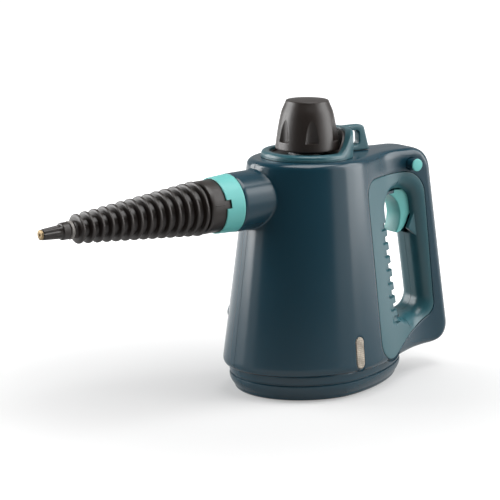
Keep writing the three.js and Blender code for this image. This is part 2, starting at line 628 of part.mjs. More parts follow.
// Base plate, pads and screws
const plateTop = foot.lowZ + base.plate;
const plateInset = foot.lowRound + foot.draft + wall + gap;
let plate = solid(loft([footPlan(foot.lowZ, plateInset), footPlan(plateTop, plateInset)]));
const posts = [];
const postRing = heater.ringRadius - heater.tube - base.postGap - base.post;
for (let i = 0; i < base.posts; i += 1) {
  const angle = (2 * Math.PI * i) / base.posts;
  posts.push(solid(cylinder(base.post, plateTop - gap, tank.lowZ - gap, 16)
    .translate(postRing * Math.cos(angle), postRing * Math.sin(angle), 0)));
}
plate = join(plate, ...posts);
const padPoints = pad.angleShares.map((share) => footPoint(share, pad.inset));
const padSpaces = padPoints.map(([x, y]) =>
  solid(cylinder(pad.radius + gap, 0, foot.lowZ + base.recess, 16).translate(x, y, 0)));
const headSpaces = baseScrewPoints().map(([x, y]) =>
  solid(cylinder(screw.well, 0, foot.lowZ + screw.headThick + gap, 10).translate(x, y, 0)));
add('base_plate', cut(plate, ...padSpaces, ...headSpaces, ...baseHoles), warmBlack);
padPoints.forEach(([x, y], i) => {
  const body = cylinder(pad.radius, 0, foot.lowZ + base.recess - gap, 16);
  add(`foot_pad_${i + 1}`, solid(body.translate(x, y, 0)), rubber);
});

// A pan head screw about Z with its head down at low.
function screwBody(low, length) {
  const head = low + screw.headThick;
  return turned([
    [0, low], [screw.head * screw.crownShare, low], [screw.head, low + screw.headThick / 2],
    [screw.head, head],
    [screw.radius, head], [screw.radius, low + length - screw.radius], [0, low + length],
  ], 8);
}
baseScrewPoints().forEach(([x, y], i) => {
  add(`base_screw_${i + 1}`, solid(screwBody(foot.lowZ, screw.baseLong).translate(x, y, 0)), steel);
});
screwPlaces.forEach(({ x, z }, i) => {
  const length = screw.headY + screw.headThick - screw.tipY - gap;
  const body = screwBody(-screw.headY - screw.headThick, length).rotateX(Math.PI / 2);
  add(`casing_screw_${i + 1}`, solid(body.translate(x, 0, z)), steel);
});

// Boiler
const tankSides = 24;
function vessel(inset, top, neck) {
  const radius = tank.radius - inset;
  const round = tank.round - inset;
  const points = [[0, tank.lowZ + inset]];
  for (let i = 0; i <= 3; i += 1) {
    const angle = (i * Math.PI) / 6;
    points.push([radius - round + round * Math.sin(angle), tank.lowZ + inset + round * (1 - Math.cos(angle))]);
  }
  for (let i = 3; i >= 0; i -= 1) {
    const angle = (i * Math.PI) / 6;
    points.push([radius - round + round * Math.sin(angle), tank.topZ - inset - round * (1 - Math.cos(angle))]);
  }
  points.push([neck, tank.topZ - inset], [neck, top], [0, top]);
  return solid(turned(points, tankSides));
}
add('boiler_tank', cut(vessel(0, tank.neckTop, tank.neckRadius), vessel(tank.skin, tank.neckTop + over,
  tank.neckBore)), castAluminium);
const heaterZ = tank.lowZ - gap - heater.tube;
const coil = [];
for (let i = 0; i < 8; i += 1) {
  const angle = (i * Math.PI) / 4;
  coil.push([heater.ringRadius + heater.tube * Math.sin(angle), heaterZ - heater.tube * Math.cos(angle)]);
}
add('heater_element', solid(turned(coil, 24)), steel);
add('thermostat', solid(cylinder(thermostat.radius, tank.topZ + gap, tank.topZ + gap + thermostat.height, 20)
  .translate(-tank.neckRadius - thermostat.fromNeck - thermostat.radius, 0, 0)), warmBlack);
add('thermal_fuse', solid(cylinder(fuse.radius, tank.topZ + gap, tank.topZ + gap + fuse.height, 12)
  .translate(0, -tank.neckRadius - fuse.fromNeck - fuse.radius, 0)), whiteInsulator);
add('terminal_block', solid(box(block.x - block.long / 2, block.x + block.long / 2, -block.half, block.half,
  plateTop + gap, plateTop + block.tall)), whiteInsulator);

// Steam valve, plunger and pipe
let valveBody = join(
  solid(alongX(cylinder(valve.radius, valve.frontX, valve.rearX, 20)).translate(0, 0, valve.z)),
  solid(cylinder(valve.pillar, tank.topZ + gap, valve.z, 16).translate(valve.pillarX, 0, 0)));
valveBody = cut(valveBody,
  solid(alongX(cylinder(valve.bore, valve.boreFront, valve.rearX + over, 16)).translate(0, 0, valve.z)));
add('steam_valve', valveBody, brass);
add('valve_plunger', solid(alongX(cylinder(plunger.radius, plunger.frontX, plunger.rearX, 16))
  .translate(0, 0, valve.z)), steel);
add('valve_spring', solid(helix(plunger.radius - wire, 4, valve.boreFront + wire + gap,
  plunger.frontX - wire - gap, (x, y, z) => new THREE.Vector3(x, y, valve.z + z))), steel);

const spigotFrame = (x, y, d) => new THREE.Vector3(x, y, d).applyMatrix4(nozzleFrame);
add('steam_spigot', cut(
  join(solid(onNozzle(cylinder(spigot.radius, -spigot.back, spigot.front, 12))),
    solid(onNozzle(cylinder(barrel.stubBore - gap, spigot.flangeBack, spigot.flangeFront)))),
  solid(onNozzle(cylinder(spigot.bore, -spigot.back - over, spigot.front + over, 8))),
), brass);
const pipeEnd = spigotFrame(0, 0, -spigot.back - gap);
const pipeRun = spigotFrame(0, 0, -spigot.back - gap - 2 * pipe.radius);
add('steam_pipe', solid(bent(pipe.radius, [
  new THREE.Vector3(valve.outletX, valve.radius + gap, valve.z),
  new THREE.Vector3(valve.outletX, (valve.radius + pipe.sideY) / 2, valve.z),
  new THREE.Vector3(valve.outletX - pipe.sideY / 3, pipe.sideY, valve.z),
  new THREE.Vector3(0, pipe.sideY, valve.z),
  new THREE.Vector3(pipeRun.x * pipe.bendXShare, pipe.sideY * pipe.bendYShare, (valve.z + pipeRun.z) / 2),
  pipeRun, pipeEnd,
], 20, 8)), brass);

// Nozzle
add('lock_ring', cut(
  solid(onNozzle(turned([[barrel.stubRadius + gap, gap], [ring.rearRadius, gap], [ring.frontRadius, ring.long],
    [ring.bore, ring.long], [ring.bore, ring.flange + gap],
    [barrel.stubRadius + gap, ring.flange + gap]], 36))),
  solid(onNozzle(sector(ring.bore - over, ring.rearRadius + over, ring.notchAngle - ring.notchHalf,
    ring.notchAngle + ring.notchHalf, ring.long - ring.notchDeep, ring.long + over))),
), turquoise);

// Outer line of the cone: socket, then ribs that shrink evenly towards the tip.
function coneProfile() {
  const outside = [[cone.socketBore, cone.back], [cone.socket, cone.back]];
  outside.push([cone.socket, cone.firstRib - cone.pitch * cone.leadShare]);
  for (let i = 0; i < cone.ribs; i += 1) {
    const along = cone.firstRib + i * cone.pitch;
    const radius = blend(cone.largeRib, cone.smallRib, i / (cone.ribs - 1));
    outside.push([radius - cone.ribDeep, along - cone.pitch / 2], [radius, along - cone.ribFlat]);
    outside.push([radius, along + cone.ribFlat]);
  }
  const lastRib = cone.firstRib + (cone.ribs - 1) * cone.pitch;
  outside.push([cone.endRadius, cone.end]);
  outside.push([cone.tailBore, cone.end], [cone.tailBore, lastRib]);
  outside.push([cone.smallRib - cone.ribDeep - cone.skin, lastRib - cone.pitch / 2]);
  outside.push([cone.throat, cone.firstRib - cone.pitch / 2], [cone.throat, cone.shoulder]);
  outside.push([cone.socketBore, cone.shoulder]);
  return outside;
}
const lugs = lugAngles.map((angle) => solid(onNozzle(sector(bayonet.slotFloor + fit, cone.socketBore + gap,
  angle - bayonet.lugHalf, angle + bayonet.lugHalf, bayonet.lugBack, bayonet.lugFront))));
const mark = solid(onNozzle(sector(cone.socket - cone.mark, cone.socket + cone.mark,
  ring.notchAngle - ring.notchHalf / 4, ring.notchAngle + ring.notchHalf / 4, ring.long + gap,
  ring.long + cone.markLong)));
add('nozzle_cone', join(solid(onNozzle(turned(coneProfile(), 20))), ...lugs, mark), warmBlack);
add('nozzle_seal', solid(onNozzle(sleeve(seal.inner, seal.outer, seal.back, seal.front))), rubber);
const washerFront = cone.end + gap + washer.thick;
add('nozzle_washer', solid(onNozzle(sleeve(cone.tailBore, washer.radius, cone.end + gap, washerFront, 24))),
  greyPlastic);
const tipBack = washerFront + gap;
const tipCollar = tipBack + tip.collar;
const tipEnd = tipBack + tip.long;
const flutes = [];
for (let i = 0; i < tip.flutes; i += 1) {
  const lean = (tip.rootRadius - tip.endRadius) / (tipEnd - tipCollar);
  const groove = cylinder(tip.fluteRadius, 0, tipEnd + over - tipCollar, 6).rotateY(-lean)
    .translate(tip.rootRadius + tip.fluteRadius / 2, 0, tipCollar + gap)
    .rotateZ((2 * Math.PI * i) / tip.flutes);
  flutes.push(solid(onNozzle(groove)));
}
add('nozzle_tip', cut(solid(onNozzle(turned([
  [0, tipBack - tip.tail], [tip.tailRadius, tipBack - tip.tail], [tip.tailRadius, tipBack],
  [tip.collarRadius, tipBack], [tip.collarRadius, tipCollar], [tip.rootRadius, tipCollar],
  [tip.endRadius, tipEnd], [0, tipEnd],
], 24))),
...flutes,
solid(onNozzle(cylinder(tip.bore, tipEnd - tip.jetDeep, tipEnd + over, 16))),
solid(onNozzle(cylinder(tip.throat, tipBack - tip.tail - over, tipEnd, 12)))), warmBlack);
add('brass_jet', solid(onNozzle(turned([
  [jet.hole, tipEnd + gap - tip.jetDeep], [jet.radius, tipEnd + gap - tip.jetDeep], [jet.radius, tipEnd + gap],
  [jet.head, tipEnd + gap], [jet.head, tipEnd + jet.headThick], [jet.hole, tipEnd + jet.headThick],
], 16))), brass);

// Cap: knob with upright flutes, screwed plug, sealing rings and the relief valve in the plug
const capHeight = cap.edgeZ - cap.lowZ;
const capProfile = (inset) => cap.heightShares.map((share, i) =>
  [cap.lowRadius * cap.radiusShares[i] - inset, cap.lowZ + (capHeight - inset) * share]);
const knobOutside = solid(turned([[0, cap.lowZ], ...capProfile(0), [0, cap.edgeZ + cap.dome]], 36));
const knobInside = solid(turned([[0, cap.lowZ - over], [cap.lowRadius - cap.skin, cap.lowZ - over],
  ...capProfile(cap.skin), [0, cap.edgeZ - cap.skin]], 18));
const knobHub = solid(sleeve(cap.hub, cap.hub + cap.hubWall, plug.flangeZ + plug.flangeThick + gap,
  cap.edgeZ - cap.skin + gap, 20));
const springSeat = solid(sleeve(plug.seat, cap.hub + cap.hubWall / 2, plug.hubTop + gap,
  plug.hubTop + gap + cap.seatThick, 20));
const flutedTo = cap.lowRadius - cap.fluteDeep + cap.fluteRadius;
const capFlutes = [];
for (let i = 0; i < cap.flutes; i += 1) {
  const angle = THREE.MathUtils.degToRad(cap.fluteTurn - 90 + (360 * i) / cap.flutes);
  const scoop = cylinder(cap.fluteRadius, cap.lowZ + cap.fluteSill, cap.edgeZ, 24).translate(flutedTo, 0, 0);
  capFlutes.push(solid(scoop.rotateZ(angle)));
}
add('cap_knob', join(cut(knobOutside, ...capFlutes, knobInside), knobHub, springSeat), warmBlack);
add('cap_plug', solid(turned([
  [plug.seat, plug.lowZ], [plug.stem, plug.lowZ], [plug.stem, plug.flangeZ], [plug.flange, plug.flangeZ],
  [plug.flange, plug.flangeZ + plug.flangeThick], [cap.hub - gap, plug.flangeZ + plug.flangeThick],
  [cap.hub - gap, plug.hubTop], [plug.bore, plug.hubTop], [plug.bore, plug.lowZ + plug.seatThick],
  [plug.seat, plug.lowZ + plug.seatThick],
], 20)), brass);
const gasketLow = tank.neckTop + gap;
add('cap_gasket', solid(sleeve(gasket.inner, tank.neckRadius, gasketLow, gasketLow + gasket.thick)), rubber);
const slipLow = gasketLow + gasket.thick + gap;
add('cap_slip_washer', solid(sleeve(gasket.inner, tank.neckRadius, slipLow, slipLow + slip.thick)), steel);
const poppetLow = plug.lowZ + plug.seatThick + gap;
const stemTop = poppetLow + poppet.headThick + poppet.stemLong;
add('relief_poppet', solid(turned([
  [0, poppetLow], [poppet.head, poppetLow], [poppet.head, poppetLow + poppet.headThick],
  [poppet.stem, poppetLow + poppet.headThick], [poppet.stem, stemTop], [0, stemTop],
], 12)), brass);
add('relief_spring', solid(helix(plug.bore - wire - gap, 5, poppetLow + poppet.headThick + wire + gap,
  plug.hubTop - wire, (z, x, y) => new THREE.Vector3(x, y, z))), steel);

// Collar and liner, both cut low in front and raised behind the cap
const collarLow = casing.topZ + gap;
function aboveEdge(drop) {
  const points = [
    [-collar.outer - over, collar.frontZ - drop], [collar.riseFront, collar.frontZ - drop],
    [collar.riseRear, collar.rearZ - drop], [collar.loopRear + over, collar.rearZ - drop],
    [collar.loopRear + over, collar.rearZ + 2 * over], [-collar.outer - over, collar.rearZ + 2 * over],
  ];
  return solid(prism(points.map(([x, z]) => new THREE.Vector2(x, z)), -reach, reach));
}
const loopOutline = roundedCorners([
  { x: collar.inner, z: collarLow, round: gap },
  { x: collar.loopRear, z: collarLow, round: gap },
  { x: collar.loopTopRear, z: collar.rearZ, round: collar.loopRound },
  { x: collar.inner, z: collar.rearZ, round: gap },
]);
const windowOutline = roundedCorners([
  { x: collar.windowFront, z: collar.windowLow, round: collar.windowRound },
  { x: collar.windowRear + gap, z: collar.windowLow, round: collar.windowRound },
  { x: collar.windowRear - gap, z: collar.windowHigh, round: collar.windowRound },
  { x: collar.windowFront, z: collar.windowHigh, round: collar.windowRound },
]);
const bowl = solid(cylinder(collar.inner, collarLow - over, collar.rearZ + over, 36));
add('fill_collar', cut(
  join(solid(turned([[0, collarLow], [collar.outer, collarLow], [collar.topOuter, collar.rearZ],
    [0, collar.rearZ]], 36)), solid(prism(loopOutline, -collar.loopHalf, collar.loopHalf))),
  bowl, solid(prism(windowOutline, -reach, reach)), aboveEdge(0),
), slate);
const linerOuter = collar.inner - gap;
add('collar_liner', cut(
  solid(cylinder(linerOuter, collarLow, collar.rearZ, 36)),
  solid(cylinder(linerOuter - liner.skin, collarLow + liner.floor, collar.rearZ + over, 36)),
  solid(cylinder(tank.neckRadius + gap, collarLow - over, collarLow + over, 28)), aboveEdge(liner.drop),
), warmBlack);

// Trigger, its pin and spring, the rod to the valve and the cross bolt that locks it
const triggerOutline = new THREE.Shape();
triggerOutline.moveTo(trigger.noseX, trigger.noseZ);
triggerOutline.quadraticCurveTo(trigger.neckX, trigger.neckZ, trigger.midX, trigger.midZ);
triggerOutline.quadraticCurveTo(trigger.midX, trigger.curlZ, trigger.lowX, trigger.lowZ);
triggerOutline.quadraticCurveTo(trigger.heelX, trigger.lowZ, trigger.hipX, trigger.hipZ);
triggerOutline.lineTo(trigger.handX, trigger.handZ);
triggerOutline.lineTo(trigger.backX, trigger.pivotZ + pin.radius);
triggerOutline.lineTo(trigger.pivotX + pin.radius, trigger.armTop);
triggerOutline.lineTo(trigger.armX, trigger.armTop);
triggerOutline.lineTo(trigger.armX, trigger.topZ + over);
triggerOutline.lineTo(trigger.armX - over, trigger.topZ);
triggerOutline.lineTo(trigger.noseX + over, trigger.topZ);
const triggerBody = new THREE.ExtrudeGeometry(triggerOutline, { depth: 2 * trigger.half, bevelEnabled: false,
  curveSegments: 8 }).rotateX(Math.PI / 2).translate(0, trigger.half, 0);
add('trigger', cut(solid(triggerBody), solid(alongY(cylinder(trigger.bore, -reach, reach, 16))
  .translate(trigger.pivotX, 0, trigger.pivotZ))), turquoise);
add('trigger_pin', solid(alongY(cylinder(pin.radius, -pin.half, pin.half, 12))
  .translate(trigger.pivotX, 0, trigger.pivotZ)), steel);
add('trigger_spring', solid(helix(returnSpring.radius, returnSpring.turns, returnSpring.frontX,
  returnSpring.rearX, (x, y, z) => new THREE.Vector3(x, y, returnSpring.z + z))), steel);
const rodBody = alongX(cylinder(rod.radius, plunger.rearX + gap, rod.rearX, 12));
add('push_rod', solid(rodBody.translate(0, 0, valve.z)), steel);
add('lock_button', solid(alongY(turned([
  [0, -lock.out], [lock.radius - 2 * gap, -lock.out], [lock.radius, gap * 2 - lock.out],
  [lock.radius, -lock.neckHalf], [lock.neckRadius, -lock.neckHalf], [lock.neckRadius, lock.neckHalf],
  [lock.radius, lock.neckHalf], [lock.radius, lock.back], [0, lock.back],
], 20)).translate(lock.x, 0, lock.z)), turquoise);

// Cord gland, on the side that faces away
const glandWall = foot.wide;
const glandInside = glandWall - wall - foot.draft - 2 * gap;
add('cord_gland', solid(alongY(turned([
  [gland.bore, glandInside - gland.flangeThick], [gland.flange, glandInside - gland.flangeThick],
  [gland.flange, glandInside], [gland.radius, glandInside], [gland.radius, glandWall + gap],
  [gland.radius, glandWall + gland.sleeve / 2], [gland.endRadius, glandWall + gland.sleeve],
  [gland.bore, glandWall + gland.sleeve],
], 12)).translate(foot.centreX, 0, gland.z)), rubber);

// The whole is centred over its own box, with the pads on Z = 0.
const bounds = new THREE.Box3().setFromObject(group);
group.position.x = -(bounds.min.x + bounds.max.x) / 2;
group.updateMatrixWorld(true);

export default group;
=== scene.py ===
"""Handheld steam cleaner, dressed for rendering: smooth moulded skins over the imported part.

Lengths are millimetres in the part's drawing frame: X from the axis of the cap, the nozzle towards -X and the
handle towards +X, Z up, and Y = 0 where the casing halves meet. A piece is turned to metres when it is made.
"""
import json
import math

import bmesh
import bpy
import numpy as np
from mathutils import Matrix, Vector
from mathutils.geometry import delaunay_2d_cdt

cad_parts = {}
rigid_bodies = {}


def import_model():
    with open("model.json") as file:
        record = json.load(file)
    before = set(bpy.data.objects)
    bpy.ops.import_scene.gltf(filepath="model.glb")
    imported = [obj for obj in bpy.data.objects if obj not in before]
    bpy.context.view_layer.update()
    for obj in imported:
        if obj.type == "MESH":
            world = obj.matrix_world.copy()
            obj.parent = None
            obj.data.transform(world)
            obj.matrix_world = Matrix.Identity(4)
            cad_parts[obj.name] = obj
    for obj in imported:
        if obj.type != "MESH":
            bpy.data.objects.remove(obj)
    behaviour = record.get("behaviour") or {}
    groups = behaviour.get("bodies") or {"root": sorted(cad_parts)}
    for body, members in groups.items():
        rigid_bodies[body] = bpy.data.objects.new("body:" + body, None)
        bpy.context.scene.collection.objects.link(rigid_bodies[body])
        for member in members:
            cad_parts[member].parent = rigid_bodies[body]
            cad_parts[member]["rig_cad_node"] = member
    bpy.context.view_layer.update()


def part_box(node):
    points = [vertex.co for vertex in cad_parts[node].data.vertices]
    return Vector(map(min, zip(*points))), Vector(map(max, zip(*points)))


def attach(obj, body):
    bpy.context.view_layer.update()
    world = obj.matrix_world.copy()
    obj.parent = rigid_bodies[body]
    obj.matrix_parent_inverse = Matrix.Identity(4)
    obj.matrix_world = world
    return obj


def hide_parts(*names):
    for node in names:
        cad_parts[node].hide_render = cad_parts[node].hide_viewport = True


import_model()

MM = 0.001
knob_low, knob_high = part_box("cap_knob")
CAP_AXIS = np.array([(knob_low.x + knob_high.x) / 2, 0, 0])
GAP = 0.3
SEAM = GAP / 2


# Camera: at the photograph's angle, on the middle of the part

AZIMUTH, ELEVATION, DISTANCE = math.radians(-34.5), math.radians(11.8), 1.7
LOOK_AT = Vector((-0.001, 0, 0.115))
FRAME_AT_OBJECT = 0.385
SENSOR = 36


def towards(turn, rise):
    """Direction from the part at an angle round from -Y and an angle up."""
    return Vector((math.sin(turn) * math.cos(rise), -math.cos(turn) * math.cos(rise), math.sin(rise)))


def stand(name, data, target, back, distance):
    """Stands a camera or lamp back from its target, looking at it."""
    thing = bpy.data.objects.new(name, data)
    bpy.context.scene.collection.objects.link(thing)
    thing.location = target + back * distance
    thing.rotation_euler = back.to_track_quat("Z", "Y").to_euler()
    return thing


def add_camera():
    lens = bpy.data.cameras.new("camera")
    lens.sensor_width = SENSOR
    lens.lens = SENSOR * DISTANCE / FRAME_AT_OBJECT
    bpy.context.scene.camera = stand("camera", lens, LOOK_AT, towards(AZIMUTH, ELEVATION), DISTANCE)


# Shapes of the casing, the same as the part's own

RIM_Z, TOP_Z, RIM_ROUND, TOP_ROUND = 20.5, 183.5, 6, 4.5
FRONT_RIM, FRONT_TOP, WIDE_X, WIDE_RIM, WIDE_TOP = 69.4, 49, 5, 60, 42
TAPER_RIM, TAPER_TOP, SLAB = 121, 78, 17.5
REAR_RIM, REAR_TOP, REAR_ROUND, TOP_CORNER, LOW_CORNER = 135.2, 109.2, 8, 20, 15
FRONT_ARC = 92
FOOT_FRONT, FOOT_REAR, FOOT_WIDE, FOOT_NARROW = 62.4, 91, 56, 4 / 3
FOOT_LOW, FOOT_ROUND, FOOT_DRAFT = 0.8, 3, 4
GROOVE_LOW, GROOVE_HIGH, GROOVE = 13, 14.4, 1.2
OPEN_LOW, OPEN_TOP, OPEN_CORNER, GRIP_ROLL, BODY_ROLL = 48, 150.5, 12, 12, 4
OPEN_FRONT, OPEN_REAR = (67, 54), (107.6, 90.9)
PANEL_LIP, PANEL_BODY_EDGE, WALL_FROM, BODY_SIDE, OPEN_MIDDLE = 2, 22, 74, 88, (95, 100)
NOZZLE_X, NOZZLE_Z, DROOP = -72.4, 154, math.radians(2.2)
BARREL, BARREL_INSIDE, STUB, STUB_LONG, STUB_WALL = 22.7, 45, 17, 13, 3.5


def mix(a, b, t):
    return a + (b - a) * t


def smooth(t):
    t = np.clip(t, 0, 1)
    return t * t * (3 - 2 * t)


def cross(a, b):
    return a[..., 0] * b[..., 1] - a[..., 1] * b[..., 0]


def height_share(z):
    return (z - RIM_Z) / (TOP_Z - RIM_Z)


def oval(z):
    """At a height: how far the casing reaches ahead of its widest place, and its half width there."""
    share = height_share(z)
    return mix(FRONT_RIM, FRONT_TOP, share) + WIDE_X, mix(WIDE_RIM, WIDE_TOP, share)


def half_width(x, z):
    """Half width of the casing behind its widest place, where it tapers into the handle."""
    taper = mix(TAPER_RIM, TAPER_TOP, height_share(z))
    along = np.minimum((x - WIDE_X) / (taper - WIDE_X), 1)
    return mix(SLAB, oval(z)[1], (1 + np.cos(np.pi * along)) / 2)


def side_width(x, z):
    """Half width at any place seen from the side, the elliptic front with the rest."""
    front, wide = oval(z)
    bow = wide * np.sqrt(np.maximum(1 - ((WIDE_X - x) / front) ** 2, 0))
    return np.where(x < WIDE_X, bow, half_width(np.maximum(x, WIDE_X), z))


def arc(steps, start=0, end=90):
    return np.radians(np.linspace(start, end, steps + 1))


def round_off(edge, steps=4):
    """A rounded edge as (in from its wall, down from its face) pairs, from the face to the wall."""
    return [(edge * (1 - math.sin(a)), edge * (1 - math.cos(a))) for a in arc(steps)]


def between(a, b, count):
    """Points on the straight line from a to b, both included."""
    return np.stack([np.linspace(*ends, count) for ends in zip(a, b)], 1)


def rounded(corners, steps=12, counts=(0, 0, 0, 0)):
    """Loop of a polygon of (x, z, radius) corners with round arcs and counts points on each straight side."""
    bends = []
    for i, (x, z, radius) in enumerate(corners):
        here = np.array((x, z))
        back = np.array(corners[i - 1][:2]) - here
        ahead = np.array(corners[(i + 1) % len(corners)][:2]) - here
        back, ahead = back / np.linalg.norm(back), ahead / np.linalg.norm(ahead)
        half = math.acos(np.clip(back @ ahead, -1, 1)) / 2
        bisector = (back + ahead) / np.linalg.norm(back + ahead)
        centre = here + bisector * radius / math.sin(half)
        start = here + back * radius / math.tan(half) - centre
        end = here + ahead * radius / math.tan(half) - centre
        sweep = math.atan2(cross(start, end), start @ end)
        turn = sweep * np.linspace(0, 1, steps + 1)
        bends.append(np.stack([start[0] * np.cos(turn) - start[1] * np.sin(turn) + centre[0],
                               start[0] * np.sin(turn) + start[1] * np.cos(turn) + centre[1]], 1))
    loop = []
    for i, bend in enumerate(bends):
        share = np.linspace(0, 1, counts[i] + 2)[1:-1, None]
        loop += [bend, mix(bend[-1], bends[(i + 1) % len(bends)][0], share)]
    return np.concatenate(loop)


def panel_outline(grow):
    return rounded([(38.4 - grow, 14 - grow, 17 + grow), (116.2 + grow, 48 - grow, 11 + grow),
                    (101.5 + grow, 165.2 + grow, 22 + grow), (30.4 - grow, 165.2 + grow, 12 + grow)],
                   14, (24, 48, 20, 70))


def opening_edge(ends, z):
    return mix(ends[0], ends[1], (z - OPEN_LOW) / (OPEN_TOP - OPEN_LOW))


def opening_ring(out, lip):
    """Ring round the finger opening: out is 0 at its narrowest and 1 where its rolled edge ends."""
    grip, body = GRIP_ROLL * out, BODY_ROLL * out - lip
    low, high = OPEN_LOW - grip, OPEN_TOP + grip
    corners = [(opening_edge(OPEN_FRONT, low) - body, low), (opening_edge(OPEN_REAR, low) + grip, low),
               (opening_edge(OPEN_REAR, high) + grip, high), (opening_edge(OPEN_FRONT, high) - body, high)]
    return rounded([(*corner, OPEN_CORNER + grip) for corner in corners], 30, (16, 60, 12, 300))


# Meshes: skins gathered from rows and filled regions, in millimetres

MERGE, CREASE, SLIVER, ROW_HEIGHT, CLEAR = 0.02, math.radians(34), 0.0005, 0.866, 0.6


class Skin:
    """Points and faces of one piece."""

    def __init__(self):
        self.points, self.faces, self.count = [], [], 0

    def add(self, points, faces):
        points = np.asarray(points, float).reshape(-1, 3)
        self.points.append(points)
        self.faces += [[i + self.count for i in face] for face in faces]
        self.count += len(points)
        return self

    def lid(self, ring):
        """One face across a ring."""
        self.add(ring, [range(len(ring))])

    def rows(self, rows, closed=False):
        """Quads between rows that have as many points each."""
        rows = np.asarray(rows, float)
        high, wide = rows.shape[:2]
        faces = []
        for r in range(high - 1):
            for i in range(wide if closed else wide - 1):
                j = (i + 1) % wide
                faces.append((r * wide + i, r * wide + j, (r + 1) * wide + j, (r + 1) * wide + i))
        return self.add(rows, faces)

    def turned(self, profile, place, sides=96):
        """A profile of (radius, along) turned about an axis; place puts (angle, radius, along) in space."""
        angle = full_turn(sides)
        return self.rows([place(angle, r, a) for r, a in profile], closed=True)

    def mirrored(self):
        other = Skin()
        other.points = [points * (1, -1, 1) for points in self.points]
        other.faces, other.count = self.faces, self.count
        return other

    def piece(self, name, body, slot, nodes=(), wall=0):
        """Makes the object, in the finish of its slot; it rides on the body and stands for the nodes."""
        mesh = bpy.data.meshes.new(name)
        mesh.from_pydata((np.concatenate(self.points) * MM + CAP_AXIS).tolist(), [], self.faces)
        shape = bmesh.new()
        shape.from_mesh(mesh)
        bmesh.ops.remove_doubles(shape, verts=shape.verts, dist=MERGE * MM)
        bmesh.ops.dissolve_degenerate(shape, edges=shape.edges, dist=MERGE * MM / 10)
        bmesh.ops.recalc_face_normals(shape, faces=shape.faces)
        if wall:
            thicken(shape, wall * MM)
        shape.to_mesh(mesh)
        shape.free()
        mesh.shade_smooth()
        mesh.set_sharp_from_angle(angle=CREASE)
        mesh.materials.append(FINISH[slot])
        thing = bpy.data.objects.new(name, mesh)
        bpy.context.scene.collection.objects.link(thing)
        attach(thing, body)
        if nodes:
            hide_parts(*nodes)


def thicken(shape, wall):
    """Gives an open skin its wall: a second skin inside it, closed round every edge."""
    shape.normal_update()
    outside = list(shape.faces)
    rims = [edge for edge in shape.edges if edge.is_boundary]
    inner = {vert: shape.verts.new(vert.co - vert.normal * wall) for vert in list(shape.verts)}
    for face in outside:
        shape.faces.new([inner[vert] for vert in reversed(face.verts)])
    for edge in rims:
        a, b = edge.verts
        shape.faces.new((b, a, inner[a], inner[b]))
    bmesh.ops.recalc_face_normals(shape, faces=shape.faces)


def full_turn(sides):
    return np.linspace(0, 2 * np.pi, sides, endpoint=False)


def inside(points, loop):
    """Which points lie inside a closed loop."""
    x, z = points[:, 0], points[:, 1]
    within = np.zeros(len(points), bool)
    for (ax, az), (bx, bz) in zip(loop, np.roll(loop, -1, 0)):
        if az != bz:
            within ^= ((az > z) != (bz > z)) & (x < (bx - ax) * (z - az) / (bz - az) + ax)
    return within


def filled(outer, holes=(), step=2.0, extra=()):
    """Points and triangles over the space inside outer and outside the holes, without slivers."""
    loops = [np.asarray(loop, float) for loop in (outer, *holes)]
    low, high = loops[0].min(0), loops[0].max(0)
    heights = np.arange(low[1], high[1], step * ROW_HEIGHT)
    grid = np.array([(x + step / 2 * (i % 2), z) for i, z in enumerate(heights)
                     for x in np.arange(low[0], high[0], step)])

    def wanted(points):
        keep = inside(points, loops[0])
        for hole in loops[1:]:
            keep &= ~inside(points, hole)
        return keep

    grid = grid[wanted(grid)]
    fixed = np.concatenate([*loops, np.asarray(extra, float).reshape(-1, 2)])
    far = np.array([np.min(np.hypot(*(fixed - p).T)) > CLEAR * step for p in grid])
    points = np.concatenate([fixed, grid[far]])
    edges, start = [], 0
    for loop in loops:
        edges += [(start + i, start + (i + 1) % len(loop)) for i in range(len(loop))]
        start += len(loop)
    made = delaunay_2d_cdt([Vector(p) for p in points], edges, [], 0, 1e-6)
    points = np.array([tuple(p) for p in made[0]])
    faces = np.array([tuple(face) for face in made[2]])
    a, b, c = points[faces.T]
    area = np.abs(cross(b - a, c - a))
    return points, faces[wanted(points[faces].mean(1)) & (area > SLIVER * step ** 2)].tolist()


# Placing: along the nozzle angle 0 is up and grows towards +Y, and along runs forward out of the barrel

def on_nozzle(angle, radius, along):
    up = np.array((-math.sin(DROOP), 0, math.cos(DROOP)))
    ahead = np.array((-math.cos(DROOP), 0, -math.sin(DROOP)))
    angle, radius, along = (np.asarray(v, float)[..., None] for v in (angle, radius, along))
    return (np.array((NOZZLE_X, 0, NOZZLE_Z)) + along * ahead
            + radius * (np.cos(angle) * up + np.sin(angle) * np.array((0, 1, 0))))


def on_cap(angle, radius, along):
    """Round the axis of the cap: angle 0 is towards -Y."""
    return np.stack(np.broadcast_arrays(radius * np.sin(angle), -radius * np.cos(angle), along), -1)


def on_lock(angle, radius, along):
    """Round the axis of the cross bolt."""
    x, z = LOCK_X + radius * np.sin(angle), LOCK_Z + radius * np.cos(angle)
    return np.stack(np.broadcast_arrays(x, along, z), -1)


# Casing halves

